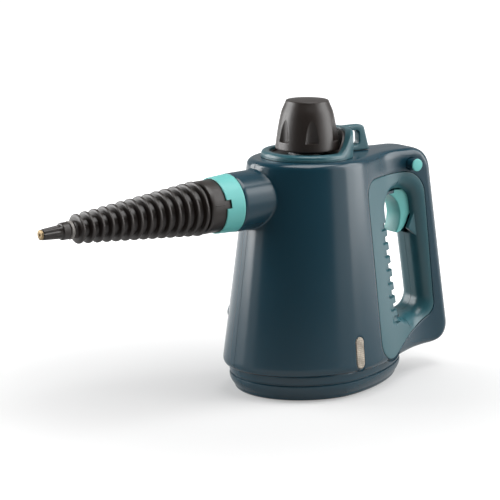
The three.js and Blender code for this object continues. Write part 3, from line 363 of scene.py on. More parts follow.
BODY_Z = RIM_Z + RIM_ROUND
LEVEL_LOW = -RIM_ROUND * math.pi / 2
LEVEL_STRAIGHT = TOP_Z - TOP_ROUND - BODY_Z
LEVEL_HIGH = LEVEL_STRAIGHT + TOP_ROUND * math.pi / 2
CASING_WALL, FILLET = 2.2, 1.0
INLAY_EDGE, INLAY_DEEP = 0.4, 2.4
WELL, WELL_EDGE, WELL_DEEP_Y, SCREW_CORE = 3.6, 0.4, 8.7, 1.7
LENS_X, LENS_LOW, LENS_HIGH, LENS_HALF = 10, 24, 48.4, 3.9
LOCK_X, LOCK_Z, LOCK_RADIUS, LOCK_EDGE, LOCK_DEEP = 89.9, 171, 5, 0.5, 4
SCREWS = [(103.56, 167.54), (116.27, 82.02), (113.03, 33.03), (-47.05, 60.0)]

side_line = rounded([(0, RIM_Z, 0.01), (REAR_RIM, RIM_Z, LOW_CORNER), (REAR_TOP, TOP_Z, TOP_CORNER),
                     (0, TOP_Z, 0.01)], 64)
rear_line = side_line[65:-65]


def level(v):
    """Height and inset at the place v up the unrolled side, whose rim and top edge are round."""
    low, high = np.clip(-v / RIM_ROUND, 0, np.pi / 2), np.clip((v - LEVEL_STRAIGHT) / TOP_ROUND, 0, np.pi / 2)
    z = BODY_Z + np.clip(v, 0, LEVEL_STRAIGHT) - RIM_ROUND * np.sin(low) + TOP_ROUND * np.sin(high)
    return z, RIM_ROUND * (1 - np.cos(low)) + TOP_ROUND * (1 - np.cos(high))


def rear_edge(z):
    return np.interp(z, rear_line[:, 1], rear_line[:, 0])


def casing_point(u, v):
    """The outside of the left half: u runs back from the widest place and v up from the rim's rounding."""
    z, inset = level(v)
    front, wide = (length - inset for length in oval(z))
    theta = np.clip(1 + u / FRONT_ARC, 0, 1) * np.pi / 2
    x = np.where(u < 0, WIDE_X - front * np.cos(theta), WIDE_X + u)
    y = np.where(u < 0, SEAM + (wide - SEAM) * np.sin(theta), half_width(np.maximum(x, WIDE_X), z) - inset)
    return np.stack([x, y, z], -1)


def casing_place(x, z):
    """The (u, v) of a point of the straight part of the side."""
    theta = np.arccos(np.clip((WIDE_X - x) / oval(z)[0], -1, 1))
    return np.stack([np.where(x < WIDE_X, (theta / (np.pi / 2) - 1) * FRONT_ARC, x - WIDE_X), z - BODY_Z], -1)


def barrel_meets(radius, angle):
    """How far along the nozzle's axis a line of that radius and angle comes out of the casing."""
    inner, outer = np.full(len(angle), -float(BARREL_INSIDE)), np.zeros(len(angle))
    for _ in range(40):
        middle = (inner + outer) / 2
        x, y, z = on_nozzle(angle, radius, middle).T
        front, wide = oval(z)
        buried = ((WIDE_X - x) / front) ** 2 + (y / wide) ** 2 < 1
        inner, outer = np.where(buried, middle, inner), np.where(buried, outer, middle)
    return (inner + outer) / 2


def foot_ring(inset, z, steps):
    angle = np.pi * np.linspace(0, 1, steps + 1)
    along, across = np.cos(angle), np.maximum(np.sin(angle), 0)
    ahead = np.where(along > 0, FOOT_FRONT, FOOT_REAR) - inset
    power = np.where(along > 0, 1, FOOT_NARROW)
    return np.stack([-ahead * np.sign(along) * np.abs(along) ** power,
                     SEAM + (FOOT_WIDE - inset - SEAM) * across ** power, np.full(steps + 1, z)], 1)


def foot_levels():
    """Heights and insets down the foot: the rolled strip, the groove below it and the bowl."""
    levels = [(RIM_Z + 1.2, 0.5), (RIM_Z + 0.6, 0.15), (RIM_Z - 0.4, 0), (GROOVE_HIGH + 1, 0.05),
              (GROOVE_HIGH + 0.4, 0.2), (GROOVE_HIGH, 0.6), (GROOVE_HIGH - 0.25, GROOVE),
              (GROOVE_LOW + 0.55, GROOVE), (GROOVE_LOW + 0.3, 0.5), (GROOVE_LOW, 0.15), (GROOVE_LOW - 1, 0)]
    for share in np.linspace(0, 1, 11)[1:]:
        levels.append((mix(GROOVE_LOW - 1, FOOT_LOW + FOOT_ROUND, share),
                       FOOT_DRAFT * (1 - math.cos(share * math.pi / 2))))
    for up, inset in round_off(FOOT_ROUND, 6)[1:]:
        levels.append((FOOT_LOW + up, FOOT_DRAFT + inset))
    return levels


def circle(x, z, radius, steps=40):
    turn = full_turn(steps)
    return np.stack([x + radius * np.cos(turn), z + radius * np.sin(turn)], 1)


def pill(grow):
    reach = LENS_HALF + grow
    ends = ((LENS_HIGH - LENS_HALF, arc(16, 0, 180)), (LENS_LOW + LENS_HALF, arc(16, 180, 360)))
    return np.concatenate([np.stack([LENS_X + reach * np.cos(turn), z + reach * np.sin(turn)], 1)
                           for z, turn in ends])


def barrel_rows(angle, meet):
    """The barrel, with a small fillet where it leaves the casing, and the stub that carries the nozzle."""
    near = barrel_meets(BARREL, angle)
    ends = near + FILLET
    corner, on_barrel = on_nozzle(angle, BARREL, near), on_nozzle(angle, BARREL, ends)
    rows = [meet * (1 - t) ** 2 + corner * 2 * t * (1 - t) + on_barrel * t ** 2 for t in np.linspace(0, 1, 6)]
    rows += [on_nozzle(angle, BARREL, mix(ends, -0.5, share)) for share in np.linspace(0, 1, 12)[1:]]
    rows += [on_nozzle(angle, radius, along) for radius, along in (
        (BARREL - 0.15, -0.15), (BARREL - 0.5, 0), (STUB, 0), (STUB, STUB_LONG),
        (STUB - STUB_WALL, STUB_LONG), (STUB - STUB_WALL, -3))]
    rows = np.array(rows)
    rows[:, :, 1] = np.maximum(rows[:, :, 1], SEAM)
    return rows


def to_seam(x, y, z, shares):
    """Rows from a line on the outside in to the seam."""
    return [np.stack([x, mix(y, SEAM, share), z], 1) for share in shares]


def casing_half(side):
    """Skin of one half; the left one has the screws' wells, the right one the lens."""
    skin = Skin()
    holes = []

    def cut(ring_at, edge, depth, low_y=None):
        """A hole in the side with a rounded edge and the wall behind it; ring_at gives the hole, grown."""
        holes.append(casing_place(*ring_at(edge).T))
        rows = []
        for grow, down in round_off(edge):
            x, z = ring_at(grow).T
            rows.append(np.stack([x, side_width(x, z) - down, z], 1))
        x, z = ring_at(0).T
        wall_y = side_width(x, z) - depth if low_y is None else np.full(len(x), low_y)
        rows.append(np.stack([x, wall_y, z], 1))
        skin.rows(rows, closed=True)

    # Outline of the side, unrolled: front seam with the barrel's round in it, top, rear edge and rim
    v_rear = np.concatenate([LEVEL_LOW * np.cos(arc(8)), np.linspace(0, LEVEL_STRAIGHT, 110)[1:-1],
                             LEVEL_STRAIGHT + (LEVEL_HIGH - LEVEL_STRAIGHT) * np.sin(arc(10))])
    v_rear[0], v_rear[-1] = LEVEL_LOW, LEVEL_HIGH
    z_rear, inset_rear = level(v_rear)
    u_rear = rear_edge(z_rear) - REAR_ROUND - WIDE_X
    angle = np.linspace(0, np.pi, 61)
    meet = on_nozzle(angle, BARREL + FILLET, barrel_meets(BARREL + FILLET, angle))
    meet_uv = casing_place(meet[:, 0], meet[:, 2])
    meet_uv[[0, -1], 0] = -FRONT_ARC
    above = np.linspace(meet_uv[0, 1], LEVEL_HIGH, 12)[1:-1]
    below = np.linspace(LEVEL_LOW, meet_uv[-1, 1], 90)[:-1]
    u_top = np.concatenate([np.linspace(-FRONT_ARC, 0, 50)[:-1], np.linspace(0, u_rear[-1], 60)])
    u_low = np.concatenate([np.linspace(-FRONT_ARC, 0, 50)[:-1], np.linspace(0, u_rear[0], 80)])
    outer = np.concatenate([
        np.stack([np.full(len(below), -FRONT_ARC), below], 1)[1:],
        meet_uv[::-1],
        np.stack([np.full(len(above), -FRONT_ARC), above], 1),
        np.stack([u_top, np.full(len(u_top), LEVEL_HIGH)], 1),
        np.stack([u_rear, v_rear], 1)[1:-1][::-1],
        np.stack([u_low, np.full(len(u_low), LEVEL_LOW)], 1)[::-1],
    ])

    cut(lambda grow: panel_outline(GAP + grow), INLAY_EDGE, INLAY_DEEP)
    cut(lambda grow: circle(LOCK_X, LOCK_Z, LOCK_RADIUS + GAP + grow), LOCK_EDGE, LOCK_DEEP)
    if side > 0:
        for x, z in SCREWS:
            cut(lambda grow: circle(x, z, WELL + grow), WELL_EDGE, 0, WELL_DEEP_Y)
            skin.rows([np.insert(circle(x, z, radius), 1, WELL_DEEP_Y, 1) for radius in (WELL, SCREW_CORE)],
                      closed=True)
    else:
        cut(lambda grow: pill(GAP + grow), INLAY_EDGE, INLAY_DEEP)
    rolled_v = [LEVEL_LOW * np.linspace(0.05, 1, 7)[:-1],
                LEVEL_STRAIGHT + (LEVEL_HIGH - LEVEL_STRAIGHT) * np.linspace(0.02, 1, 7)[:-1]]
    rolls = [(u, v) for v in np.concatenate(rolled_v)
             for u in np.arange(-FRONT_ARC + 1, u_rear.min() - 2, 2.0)]
    points, faces = filled(outer, holes, 2.0, rolls)
    skin.add(casing_point(points[:, 0], points[:, 1]), faces)

    # Rear edge and rear face
    slab = SLAB - inset_rear
    rear = [np.stack([rear_edge(z_rear) - ahead, slab - inset, z_rear], 1)
            for ahead, inset in round_off(REAR_ROUND, 10)]
    skin.rows(rear + to_seam(rear_edge(z_rear), slab - REAR_ROUND, z_rear, (0.3, 0.6, 0.85, 0.95, 1)))

    # Flat top, underside and foot
    top, low = (np.concatenate([casing_point(u, np.full(len(u), v)), [row[end] for row in rear[1:]]])
                for u, v, end in ((u_top, LEVEL_HIGH, -1), (u_low, LEVEL_LOW, 0)))
    skin.rows(to_seam(*top.T, (0, 0.5, 0.9, 1)))
    foot = [foot_ring(inset, z, len(low) - 1) for z, inset in foot_levels()]
    skin.rows([low, foot[0]])
    skin.rows(foot)
    skin.rows(barrel_rows(angle, meet))

    # Body side of the opening, behind the panel's lip
    ring = opening_ring(0, 0)
    ring = np.roll(ring, len(ring) // 3, 0)
    run = ring[ring[:, 0] < BODY_SIDE]
    ahead, up = (run - OPEN_MIDDLE).T
    x, z = run[np.argsort(np.unwrap(np.arctan2(up, -ahead)))].T
    skin.rows(to_seam(x, np.maximum(panel_wall_end(x, z) + 0.5, SEAM + 0.1), z, (0, 0.5, 1)))
    return skin if side > 0 else skin.mirrored()


def panel_wall_end(x, z):
    """How far in the panel's skin reaches: to the seam along the grip, a lip along the body."""
    limit = np.minimum(PANEL_BODY_EDGE, side_width(x, z) - BODY_ROLL - 1.2)
    return mix(limit, SEAM, smooth((x - WALL_FROM) / (BODY_SIDE - WALL_FROM)))


# Panels, with the notches for the fingers

PANEL_EDGE, PANEL_WALL = 0.5, 1.4
POCKETS, POCKET_FIRST, POCKET_PITCH, POCKET_HALF = 8, 50.5, 10.8, 2.75
POCKET_DEEP, POCKET_REACH, POCKET_SIDE = 2.4, 11, 0.4
SLOT_HALF, SLOT_LOW, SLOT_DEEP, SLOT_FRONT = 9.6, 112.7, 7, 82.8
FINE_FLAT = 4.5


def pocket_depth(z, far):
    """Depth of the notches at a height and a distance from the opening; each ends in a half round."""
    nearest = np.clip(np.round((z - POCKET_FIRST) / POCKET_PITCH), 0, POCKETS - 1)
    off = np.abs(z - (POCKET_FIRST + POCKET_PITCH * nearest))
    beyond = np.hypot(off, np.maximum(far - (POCKET_REACH - POCKET_HALF), 0))
    return POCKET_DEEP * smooth((POCKET_HALF + POCKET_SIDE / 2 - beyond) / POCKET_SIDE)


def spoke_reach(start, way, loop):
    """How far each spoke runs from its start before it meets the loop."""
    side = np.roll(loop, -1, 0) - loop
    to_loop = loop - start[:, None]
    across = cross(way[:, None], side)
    with np.errstate(divide="ignore", invalid="ignore"):
        along = cross(to_loop, side) / across
        place = cross(to_loop, way[:, None]) / across
    return np.where((along > 0) & (place >= 0) & (place <= 1), along, np.inf).min(1)


def panel_half():
    """Skin of a panel: spokes from the opening's narrowest place, over its rolled edge, to the outline."""
    skin = Skin()
    inner, outer = opening_ring(0, PANEL_LIP), opening_ring(1, PANEL_LIP)
    way = outer - inner
    way /= np.linalg.norm(way, axis=1)[:, None]
    body_edge = opening_edge(OPEN_FRONT, inner[:, 1])
    roll = mix(BODY_ROLL, GRIP_ROLL, smooth((inner[:, 0] - body_edge) / (2 * OPEN_CORNER)))
    body_side = smooth((body_edge + 8 - inner[:, 0]) / 4)
    slotted = (inner[:, 1] > SLOT_LOW) & (inner[:, 0] > SLOT_FRONT)
    flat = spoke_reach(inner, way, panel_outline(-PANEL_EDGE))

    def row(far, sink=0.0):
        x, z = (inner + way * far[:, None]).T
        rise = np.clip(1 - far / roll, 0, 1)
        y = side_width(x, z) - roll * (1 - np.sqrt(1 - rise ** 2)) - sink
        depth = pocket_depth(z, far) * body_side
        return np.stack([x - depth * rise, y - depth * np.sqrt(1 - rise ** 2), z], 1)

    # The trigger's slot cuts the roll where it gets narrower than the slot
    low, high = np.zeros(len(inner)), roll.copy()
    for _ in range(30):
        middle = (low + high) / 2
        buried = row(middle)[:, 1] < SLOT_HALF
        low, high = np.where(buried, middle, low), np.where(buried, high, middle)
    slot_stop = np.where(slotted, high, 0)

    fars = [roll * (1 - math.cos(a)) for a in arc(14)]
    fars += [roll + far for far in np.linspace(0.3, FINE_FLAT, 15)]
    fars += [roll + FINE_FLAT + (flat - roll - FINE_FLAT) * share for share in np.linspace(0, 1, 14)[1:]]
    tight = flat < roll + 6
    face = []
    for far, share in zip(fars, np.linspace(0, 1, len(fars))):
        eased = flat * (1 - np.cos(share * np.pi / 2))
        far = np.maximum(np.where(tight, eased, far), slot_stop)
        face.append(row(np.minimum(far, flat)))
    x, y, z = face[0].T
    at_top = z >= OPEN_TOP - 2
    end = np.minimum(panel_wall_end(x, z), y)
    wall = [np.stack([x + np.where(slotted & ~at_top, SLOT_DEEP * share, 0),
                      np.where(slotted, y, mix(y, end, share)),
                      z + np.where(slotted & at_top, SLOT_DEEP * share, 0)], 1) for share in (1, 0.8, 0.4)]
    rim = [row(spoke_reach(inner, way, panel_outline(-by)), down)
           for down, by in round_off(PANEL_EDGE, 5)[-2::-1]]
    skin.rows(wall + face + rim, closed=True)
    return skin


# Plates: a side view outline carried from one side to the other, with rounded edges

TINY = 1e-9


def unit(ways):
    return ways / (np.linalg.norm(ways, axis=1)[:, None] + TINY)


def shrunk(loop, by):
    """The loop moved inwards along the bisectors of its corners."""
    before, after = np.roll(loop, 1, 0), np.roll(loop, -1, 0)
    tangent = unit(unit(loop - before) + unit(after - loop))
    normal = np.stack([-tangent[:, 1], tangent[:, 0]], 1) * np.sign(np.sum(cross(loop, after)))
    return loop + normal * by


def plate(skin, outer, holes, half, edge, step=2.0):
    profile = [(by, half - down) for by, down in round_off(edge)]
    stations = profile + [(by, -y) for by, y in profile[::-1]]
    for loop, sign in [(outer, 1)] + [(hole, -1) for hole in holes]:
        skin.rows([np.insert(shrunk(loop, by * sign), 1, y, 1) for by, y in stations], closed=True)
    points, faces = filled(shrunk(outer, edge), [shrunk(hole, -edge) for hole in holes], step)
    for y in (half, -half):
        skin.add(np.insert(points, 1, y, 1), faces)


# Collar, liner and loop

COLLAR_LOW, COLLAR_OUT, COLLAR_IN, COLLAR_EDGE, COLLAR_LIP = TOP_Z + GAP, 36, 29.3, 2.6, 0.9
COLLAR_FRONT, COLLAR_REAR, RISE_FRONT, RISE_REAR = 188.5, 204.3, 7, 29
LOOP_FRONT, LOOP_REAR, LOOP_TOP_REAR, LOOP_HALF, LOOP_ROUND, LOOP_EDGE = 32, 58.6, 52.6, 3.6, 4.5, 1.0
WINDOW_FRONT, WINDOW_REAR, WINDOW_LOW, WINDOW_HIGH, WINDOW_ROUND = 38.5, 48.6, 188, 200, 3.5
LINER_WALL, LINER_DROP, LINER_FLOOR, LINER_HOLE = 1.5, 2, 1.8, 15.3


def collar_top(x):
    return mix(COLLAR_FRONT, COLLAR_REAR, smooth((x - RISE_FRONT) / (RISE_REAR - RISE_FRONT)))


def collar_skin():
    skin = Skin()
    angle = full_turn(240)

    def at(radius, down):
        return on_cap(angle, radius, np.maximum(collar_top(radius * np.sin(angle)) - down, COLLAR_LOW))

    wall_top = collar_top(COLLAR_OUT * np.sin(angle)) - COLLAR_EDGE
    rows = [on_cap(angle, COLLAR_OUT, mix(COLLAR_LOW, wall_top, share)) for share in (0, 0.3, 0.6, 0.8)]
    rows += [at(COLLAR_OUT - 0.3 - inward, down) for down, inward in round_off(COLLAR_EDGE, 8)]
    rows += [at(COLLAR_IN + outward, down) for down, outward in round_off(COLLAR_LIP, 5)[::-1]]
    rows += [on_cap(angle, COLLAR_IN, COLLAR_LOW), rows[0]]
    skin.rows(rows, closed=True)
    loop_low, loop_high = COLLAR_LOW + 0.1, COLLAR_REAR - 0.1
    loop = rounded([(LOOP_FRONT, loop_low, 0.5), (LOOP_REAR, loop_low, 0.8),
                    (LOOP_TOP_REAR, loop_high, LOOP_ROUND), (LOOP_FRONT, loop_high, 1)], 10, (14, 12, 10, 12))
    window = [(WINDOW_FRONT, WINDOW_LOW), (WINDOW_REAR + GAP, WINDOW_LOW), (WINDOW_REAR - GAP, WINDOW_HIGH),
              (WINDOW_FRONT, WINDOW_HIGH)]
    plate(skin, loop, [rounded([(*corner, WINDOW_ROUND) for corner in window], 8, (2, 4, 2, 4))],
          LOOP_HALF, LOOP_EDGE)
    return skin


def liner_skin():
    outer, floor, angle = COLLAR_IN - GAP, COLLAR_LOW + LINER_FLOOR, full_turn(160)
    lip = collar_top(outer * np.sin(angle)) - LINER_DROP
    return Skin().rows([on_cap(angle, radius, z) for radius, z in (
        (outer, COLLAR_LOW), (outer, lip), (outer - LINER_WALL, lip), (outer - LINER_WALL, floor),
        (LINER_HOLE, floor), (LINER_HOLE, COLLAR_LOW), (outer, COLLAR_LOW))], closed=True)


# Cap knob: a bulging cone whose six flutes are scooped by upright rounds

CAP_LOW, CAP_EDGE, CAP_RADIUS, CAP_WALL = 189.5, 227.6, 24.9, 5.2
CAP_HEIGHTS = [0, 0.26, 0.53, 0.79, 0.97, 1]
CAP_RADII = [1, 0.95, 0.884, 0.79, 0.675, 0.66]
CAP_SHOULDER, CAP_ROOF = 0.975, 0.9
CAP_TOP = [(0.12, 0.3), (0.35, 0.55), (0.7, 0.72), (1.1, 0.78), (1.5, 0.74), (2, 0.8), (4, 1.1), (8, 1.5),
           (12, 1.8), (15, 1.9)]
FLUTES, FLUTE_TURN, FLUTE_RADIUS, FLUTE_INNER, FLUTE_SILL = 6, -26, 7.5, 21.2, 196.2
CORE = 0.3


def spline(x, xs, ys):
    """A smooth curve through points, straight beyond the ends."""
    xs, ys = np.array(xs, float), np.array(ys, float)
    slope = np.gradient(ys, xs)
    i = np.clip(np.searchsorted(xs, x) - 1, 0, len(xs) - 2)
    h = xs[i + 1] - xs[i]
    t = (x - xs[i]) / h
    return ((2 * t ** 3 - 3 * t ** 2 + 1) * ys[i] + (t ** 3 - 2 * t ** 2 + t) * h * slope[i]
            + (-2 * t ** 3 + 3 * t ** 2) * ys[i + 1] + (t ** 3 - t ** 2) * h * slope[i + 1])


def knob_skin():
    skin = Skin()
    sides = 360
    angle = full_turn(sides)
    tall = CAP_EDGE - CAP_LOW
    slice_turn = np.radians(360 / FLUTES)
    off = (angle - math.radians(FLUTE_TURN) + slice_turn / 2) % slice_turn - slice_turn / 2
    centre = FLUTE_INNER + FLUTE_RADIUS
    across = centre * np.sin(off)
    cut = centre * np.cos(off) - np.sqrt(np.maximum(FLUTE_RADIUS ** 2 - across ** 2, 0))
    cut = np.where(np.abs(across) < FLUTE_RADIUS, cut, CAP_RADIUS)
    rim = [(CAP_RADIUS - 2.9, CAP_LOW + 0.4), (CAP_RADIUS - 0.8, CAP_LOW), (CAP_RADIUS - 0.25, CAP_LOW + 0.2)]
    rows = [on_cap(angle, radius, z) for radius, z in rim]
    for share in np.concatenate([np.linspace(0.02, 0.165, 8), np.linspace(0.17, 0.182, 5),
                                 np.linspace(0.19, CAP_SHOULDER, 90)]):
        radius = CAP_RADIUS * spline(share, CAP_HEIGHTS, CAP_RADII)
        z = CAP_LOW + tall * share
        depth = np.maximum(radius - cut, 0) * smooth((z - FLUTE_SILL + 0.25) / 0.5)
        rows.append(on_cap(angle, radius - depth, z))
    edge = CAP_RADIUS * spline(CAP_SHOULDER, CAP_HEIGHTS, CAP_RADII)
    shoulder = CAP_LOW + tall * CAP_SHOULDER
    rows += [on_cap(angle, edge - inward, shoulder + up) for inward, up in CAP_TOP]
    rows.append(on_cap(angle, CORE, shoulder + 1.92))
    skin.rows(rows, closed=True)
    skin.lid(rows[-1])
    inner = [(CAP_RADIUS * spline(share, CAP_HEIGHTS, CAP_RADII) - CAP_WALL, CAP_LOW + tall * share)
             for share in (0.2, 0.4, 0.6, 0.8, CAP_ROOF)]
    roof = (CORE, CAP_LOW + tall * CAP_ROOF)
    skin.turned([rim[0], *inner, roof], on_cap, sides)
    skin.lid(on_cap(angle, *roof))
    return skin


# Nozzle

RING_LONG, RING_REAR, RING_FRONT, RING_IN, RING_FLANGE, RING_EDGE = 16.2, 22.5, 21.6, 20.7, 2, 0.35
NOTCH_ANGLE, NOTCH_HALF, NOTCH_DEEP = math.radians(-79), math.radians(9), 4.2
CONE_BACK, SOCKET, SOCKET_IN, SHOULDER, THROAT = 2.6, 20.3, 17.4, 15.3, 15.4
RIBS, FIRST_RIB, RIB_STEP, LARGE_RIB, SMALL_RIB, RIB_DEEP = 14, 32.8, 7.8, 20.8, 11.1, 2.8
RIB_HALF_WIDE, RIB_VALLEY, RIB_WALL = 1.75, 1.7, 2.7
LUG_BACK, LUG_FRONT, LUG_TURN = 5.0, 8.0, 8
INDEX_HALF, INDEX_HIGH, INDEX_BACK, INDEX_FRONT = 0.55, 0.5, RING_LONG + 0.6, RING_LONG + 9
CONE_END, CONE_END_RADIUS, TAIL_IN = 139, 6.6, 3.5
WASHER_THICK, WASHER_RADIUS, WASHER_EDGE = 2.6, 6.9, 0.4
WASHER_BACK = CONE_END + GAP
TIP_COLLAR, TIP_COLLAR_RADIUS, TIP_ROOT, TIP_END, TIP_LONG, TIP_FLUTES = 6.2, 6.5, 5.3, 4.2, 21.6, 8
TIP_FLUTE_DEEP, TIP_TAIL, TIP_BORE = 0.75, 5, 1.5
TIP_BACK = WASHER_BACK + WASHER_THICK + GAP
TIP_FRONT = TIP_BACK + TIP_LONG
JET_RADIUS, JET_HEAD, JET_HEAD_THICK, JET_HOLE, JET_DEEP = 2.7, 3.9, 1.6, 0.8, 7


def ring_skin():
    """The lock ring: its outside, unrolled with the notch, and the walls behind it."""
    skin = Skin()
    middle, wall = (RING_REAR + RING_FRONT) / 2, RING_FRONT - RING_IN
    around, reach = math.pi * middle, NOTCH_HALF * middle
    back, front, floor = GAP + RING_EDGE, RING_LONG - RING_EDGE, RING_LONG - NOTCH_DEEP

    def place(sx, along, sink=0):
        radius = mix(RING_REAR, RING_FRONT, along / RING_LONG) - sink
        return on_nozzle(NOTCH_ANGLE + sx / middle, radius, along)

    corners = [(-around, back), (around, back), (around, front), (reach, front), (reach, floor),
               (-reach, floor), (-reach, front), (-around, front)]
    sides = [between(a, b, count) for a, b, count in
             zip(corners, corners[1:] + corners[:1], (140, 12, 70, 5, 8, 5, 70, 12))]
    points, faces = filled(np.concatenate([side[:-1] for side in sides]), (), 1.6)
    skin.add(place(points[:, 0], points[:, 1]), faces)
    for run in (sides[2][:, 0], sides[6][:, 0]):
        skin.rows([place(run, RING_LONG - up, sink) for up, sink in round_off(RING_EDGE, 3)]
                  + [place(run, along, wall) for along in (RING_LONG, RING_FLANGE + GAP)])
    full, hub = sides[0][:, 0], RING_REAR - STUB - GAP
    skin.rows([place(full, GAP + up, sink) for up, sink in round_off(RING_EDGE, 3)]
              + [place(full, GAP, hub)] + [place(full, GAP + RING_FLANGE, sink) for sink in (hub, wall)])
    notch = np.concatenate([sides[3][:-1], sides[4][:-1], sides[5]])
    skin.rows([place(notch[:, 0], notch[:, 1], sink) for sink in (0, wall)])
    return skin


def cone_skin():
    """The cone: socket with its bayonet lugs and index line, ribs with rounded crests, and tail."""
    skin = Skin()
    first, last = FIRST_RIB - RIB_STEP / 2, FIRST_RIB + (RIBS - 1) * RIB_STEP
    profile = [(SOCKET_IN, CONE_BACK), (SOCKET - 0.4, CONE_BACK), (SOCKET, CONE_BACK + 0.4)]
    profile += [(SOCKET, along) for along in np.linspace(CONE_BACK + 2, first - 1.2, 8)]
    profile += [(SOCKET - 0.2, first - 0.6), (SOCKET - 0.8, first - 0.1), (SOCKET - RIB_DEEP, first + 0.1)]
    for i in range(RIBS):
        root = mix(LARGE_RIB, SMALL_RIB, i / (RIBS - 1)) - RIB_DEEP - RIB_VALLEY
        for t in np.linspace(-1, 1, 19):
            profile.append((root + (RIB_DEEP + RIB_VALLEY) * (1 - t ** 4) ** 0.7,
                            FIRST_RIB + i * RIB_STEP + t * RIB_HALF_WIDE))
    profile += [(CONE_END_RADIUS, last + RIB_STEP / 2 + 0.3), (CONE_END_RADIUS, CONE_END - 0.3),
                (CONE_END_RADIUS - 0.3, CONE_END), (TAIL_IN, CONE_END), (TAIL_IN, last),
                (SMALL_RIB - RIB_DEEP - RIB_WALL, last - RIB_STEP / 2), (THROAT, first), (THROAT, SHOULDER),
                (SOCKET_IN, SHOULDER), (SOCKET_IN, CONE_BACK)]
    skin.turned(profile, on_nozzle, 128)
    lug = [(SOCKET_IN + 0.2, LUG_BACK), (THROAT + 0.4, LUG_BACK), (THROAT + 0.4, LUG_FRONT),
           (SOCKET_IN + 0.2, LUG_FRONT)]
    for side in (0, math.pi):
        angle = side + np.radians(np.linspace(-LUG_TURN, LUG_TURN, 9))
        rows = [on_nozzle(angle, radius, along) for radius, along in lug]
        skin.rows([*rows, rows[0]])
        for end in (0, -1):
            skin.lid([row[end] for row in rows])
    across = np.linspace(-1, 1, 7)
    rows = [on_nozzle(NOTCH_ANGLE + across * INDEX_HALF / SOCKET,
                      SOCKET - 0.1 + INDEX_HIGH * np.sqrt(1 - across ** 2), along)
            for along in np.linspace(INDEX_BACK, INDEX_FRONT, 8)]
    skin.rows(rows)
    for end in (0, -1):
        skin.lid(rows[end])
    return skin


def washer_skin():
    front = WASHER_BACK + WASHER_THICK
    return Skin().turned([(TAIL_IN, WASHER_BACK), (WASHER_RADIUS - WASHER_EDGE, WASHER_BACK),
                          (WASHER_RADIUS, WASHER_BACK + WASHER_EDGE), (WASHER_RADIUS, front - WASHER_EDGE),
                          (WASHER_RADIUS - WASHER_EDGE, front), (TAIL_IN, front), (TAIL_IN, WASHER_BACK)],
                         on_nozzle)


def tip_skin():
    """The fluted tip, as (radius, along, depth of the flutes)."""
    skin = Skin()
    angle = full_turn(192)
    collar, tail = TIP_BACK + TIP_COLLAR, TIP_BACK - TIP_TAIL
    profile = [(0.5, tail, 0), (3.2, tail, 0), (3.2, TIP_BACK, 0), (TIP_COLLAR_RADIUS - 0.5, TIP_BACK, 0),
               (TIP_COLLAR_RADIUS, TIP_BACK + 0.5, 0), (TIP_COLLAR_RADIUS, collar - 0.6, 0),
               (TIP_COLLAR_RADIUS - 0.4, collar - 0.1, 0), (TIP_ROOT + 0.3, collar, 0)]
    profile += [(mix(TIP_ROOT, TIP_END, share), mix(collar, TIP_FRONT - 0.5, share),
                 smooth((share - 0.05) / 0.12)) for share in np.linspace(0.02, 1, 16)]
    profile += [(TIP_END - 0.5, TIP_FRONT, 0.5), (3, TIP_FRONT, 0), (3, TIP_FRONT - JET_DEEP, 0),
                (TIP_BORE, TIP_FRONT - JET_DEEP, 0), (TIP_BORE, TIP_BACK - 4, 0), (0.5, tail, 0)]
    wave = 0.5 - 0.5 * np.cos(TIP_FLUTES * angle)
    skin.rows([on_nozzle(angle, radius - TIP_FLUTE_DEEP * deep * wave ** 1.5, along)
               for radius, along, deep in profile], closed=True)
    return skin


def jet_skin():
    back, front = TIP_FRONT + GAP, TIP_FRONT + JET_HEAD_THICK
    return Skin().turned([(JET_HOLE, back - JET_DEEP), (JET_RADIUS, back - JET_DEEP), (JET_RADIUS, back),
                          (JET_HEAD - 0.2, back), (JET_HEAD, back + 0.2), (JET_HEAD, front - 0.5),
                          (JET_HEAD - 0.15, front - 0.15), (JET_HEAD - 0.5, front), (JET_HOLE + 0.5, front),
                          (JET_HOLE, front - 0.5), (JET_HOLE, back - JET_DEEP)], on_nozzle, 64)


# Trigger and the cheeks beside it, cross bolt and lens

PIVOT_X, PIVOT_Z, PIVOT_BORE, TRIGGER_HALF, TRIGGER_EDGE = 95, 155, 2.3, 9, 0.9
# Start, bend towards and steps of each stretch of the trigger's outline, which ends where the next one starts
TRIGGER_LINE = [((72.2, 147.4), (84.6, 143), 24), ((85.8, 129.5), (85.8, 121), 14),
                ((82, 114.9), (84, 113.6), 6), ((87.5, 116), (91.9, 119.5), 8),
                ((94.3, 127), (97.2, 131.3), 6), ((101, 136.5), (101.6, 146), 8),
                *[(point, point, 1) for point in ((99.5, 157), (97.8, 163.4), (96.8, 164.6), (89.4, 164.6),
                                                  (88.5, 163.6), (88.5, 157))],
                ((88.4, 151), (88.2, 149.9), 4), ((86, 149.8), (86, 149.8), 1),
                ((78, 149.8), (73.5, 149.6), 5)]
CHEEK = [(97, 131.3, 0.4), (91, 117.9, 1), (100, 110.6, 0.6), (103, 112, 0.5), (103, 131.3, 0.5)]
CHEEK_LOW, CHEEK_HIGH, CHEEK_EDGE = 9.6, 13, 0.4
LOCK_OUT, LOCK_BACK, LOCK_NECK, LOCK_NECK_HALF, LOCK_ROUND, LOCK_SIDES = 25.5, 17.2, 3.6, 4, 0.7, 64
# Inner radius and front end of the dark sleeve that paints shade on the bolt's side
SHADE_SLEEVE_IN, SHADE_SLEEVE_FRONT = LOCK_RADIUS - 0.5, -LOCK_OUT + 1
LENS_PROUD, LENS_EDGE, LENS_THICK = 0.3, 0.6, 2.4


def curve(start, control, end, steps):
    t = np.linspace(0, 1, steps + 1)[:, None]
    return np.array(start) * (1 - t) ** 2 + np.array(control) * 2 * t * (1 - t) + np.array(end) * t ** 2


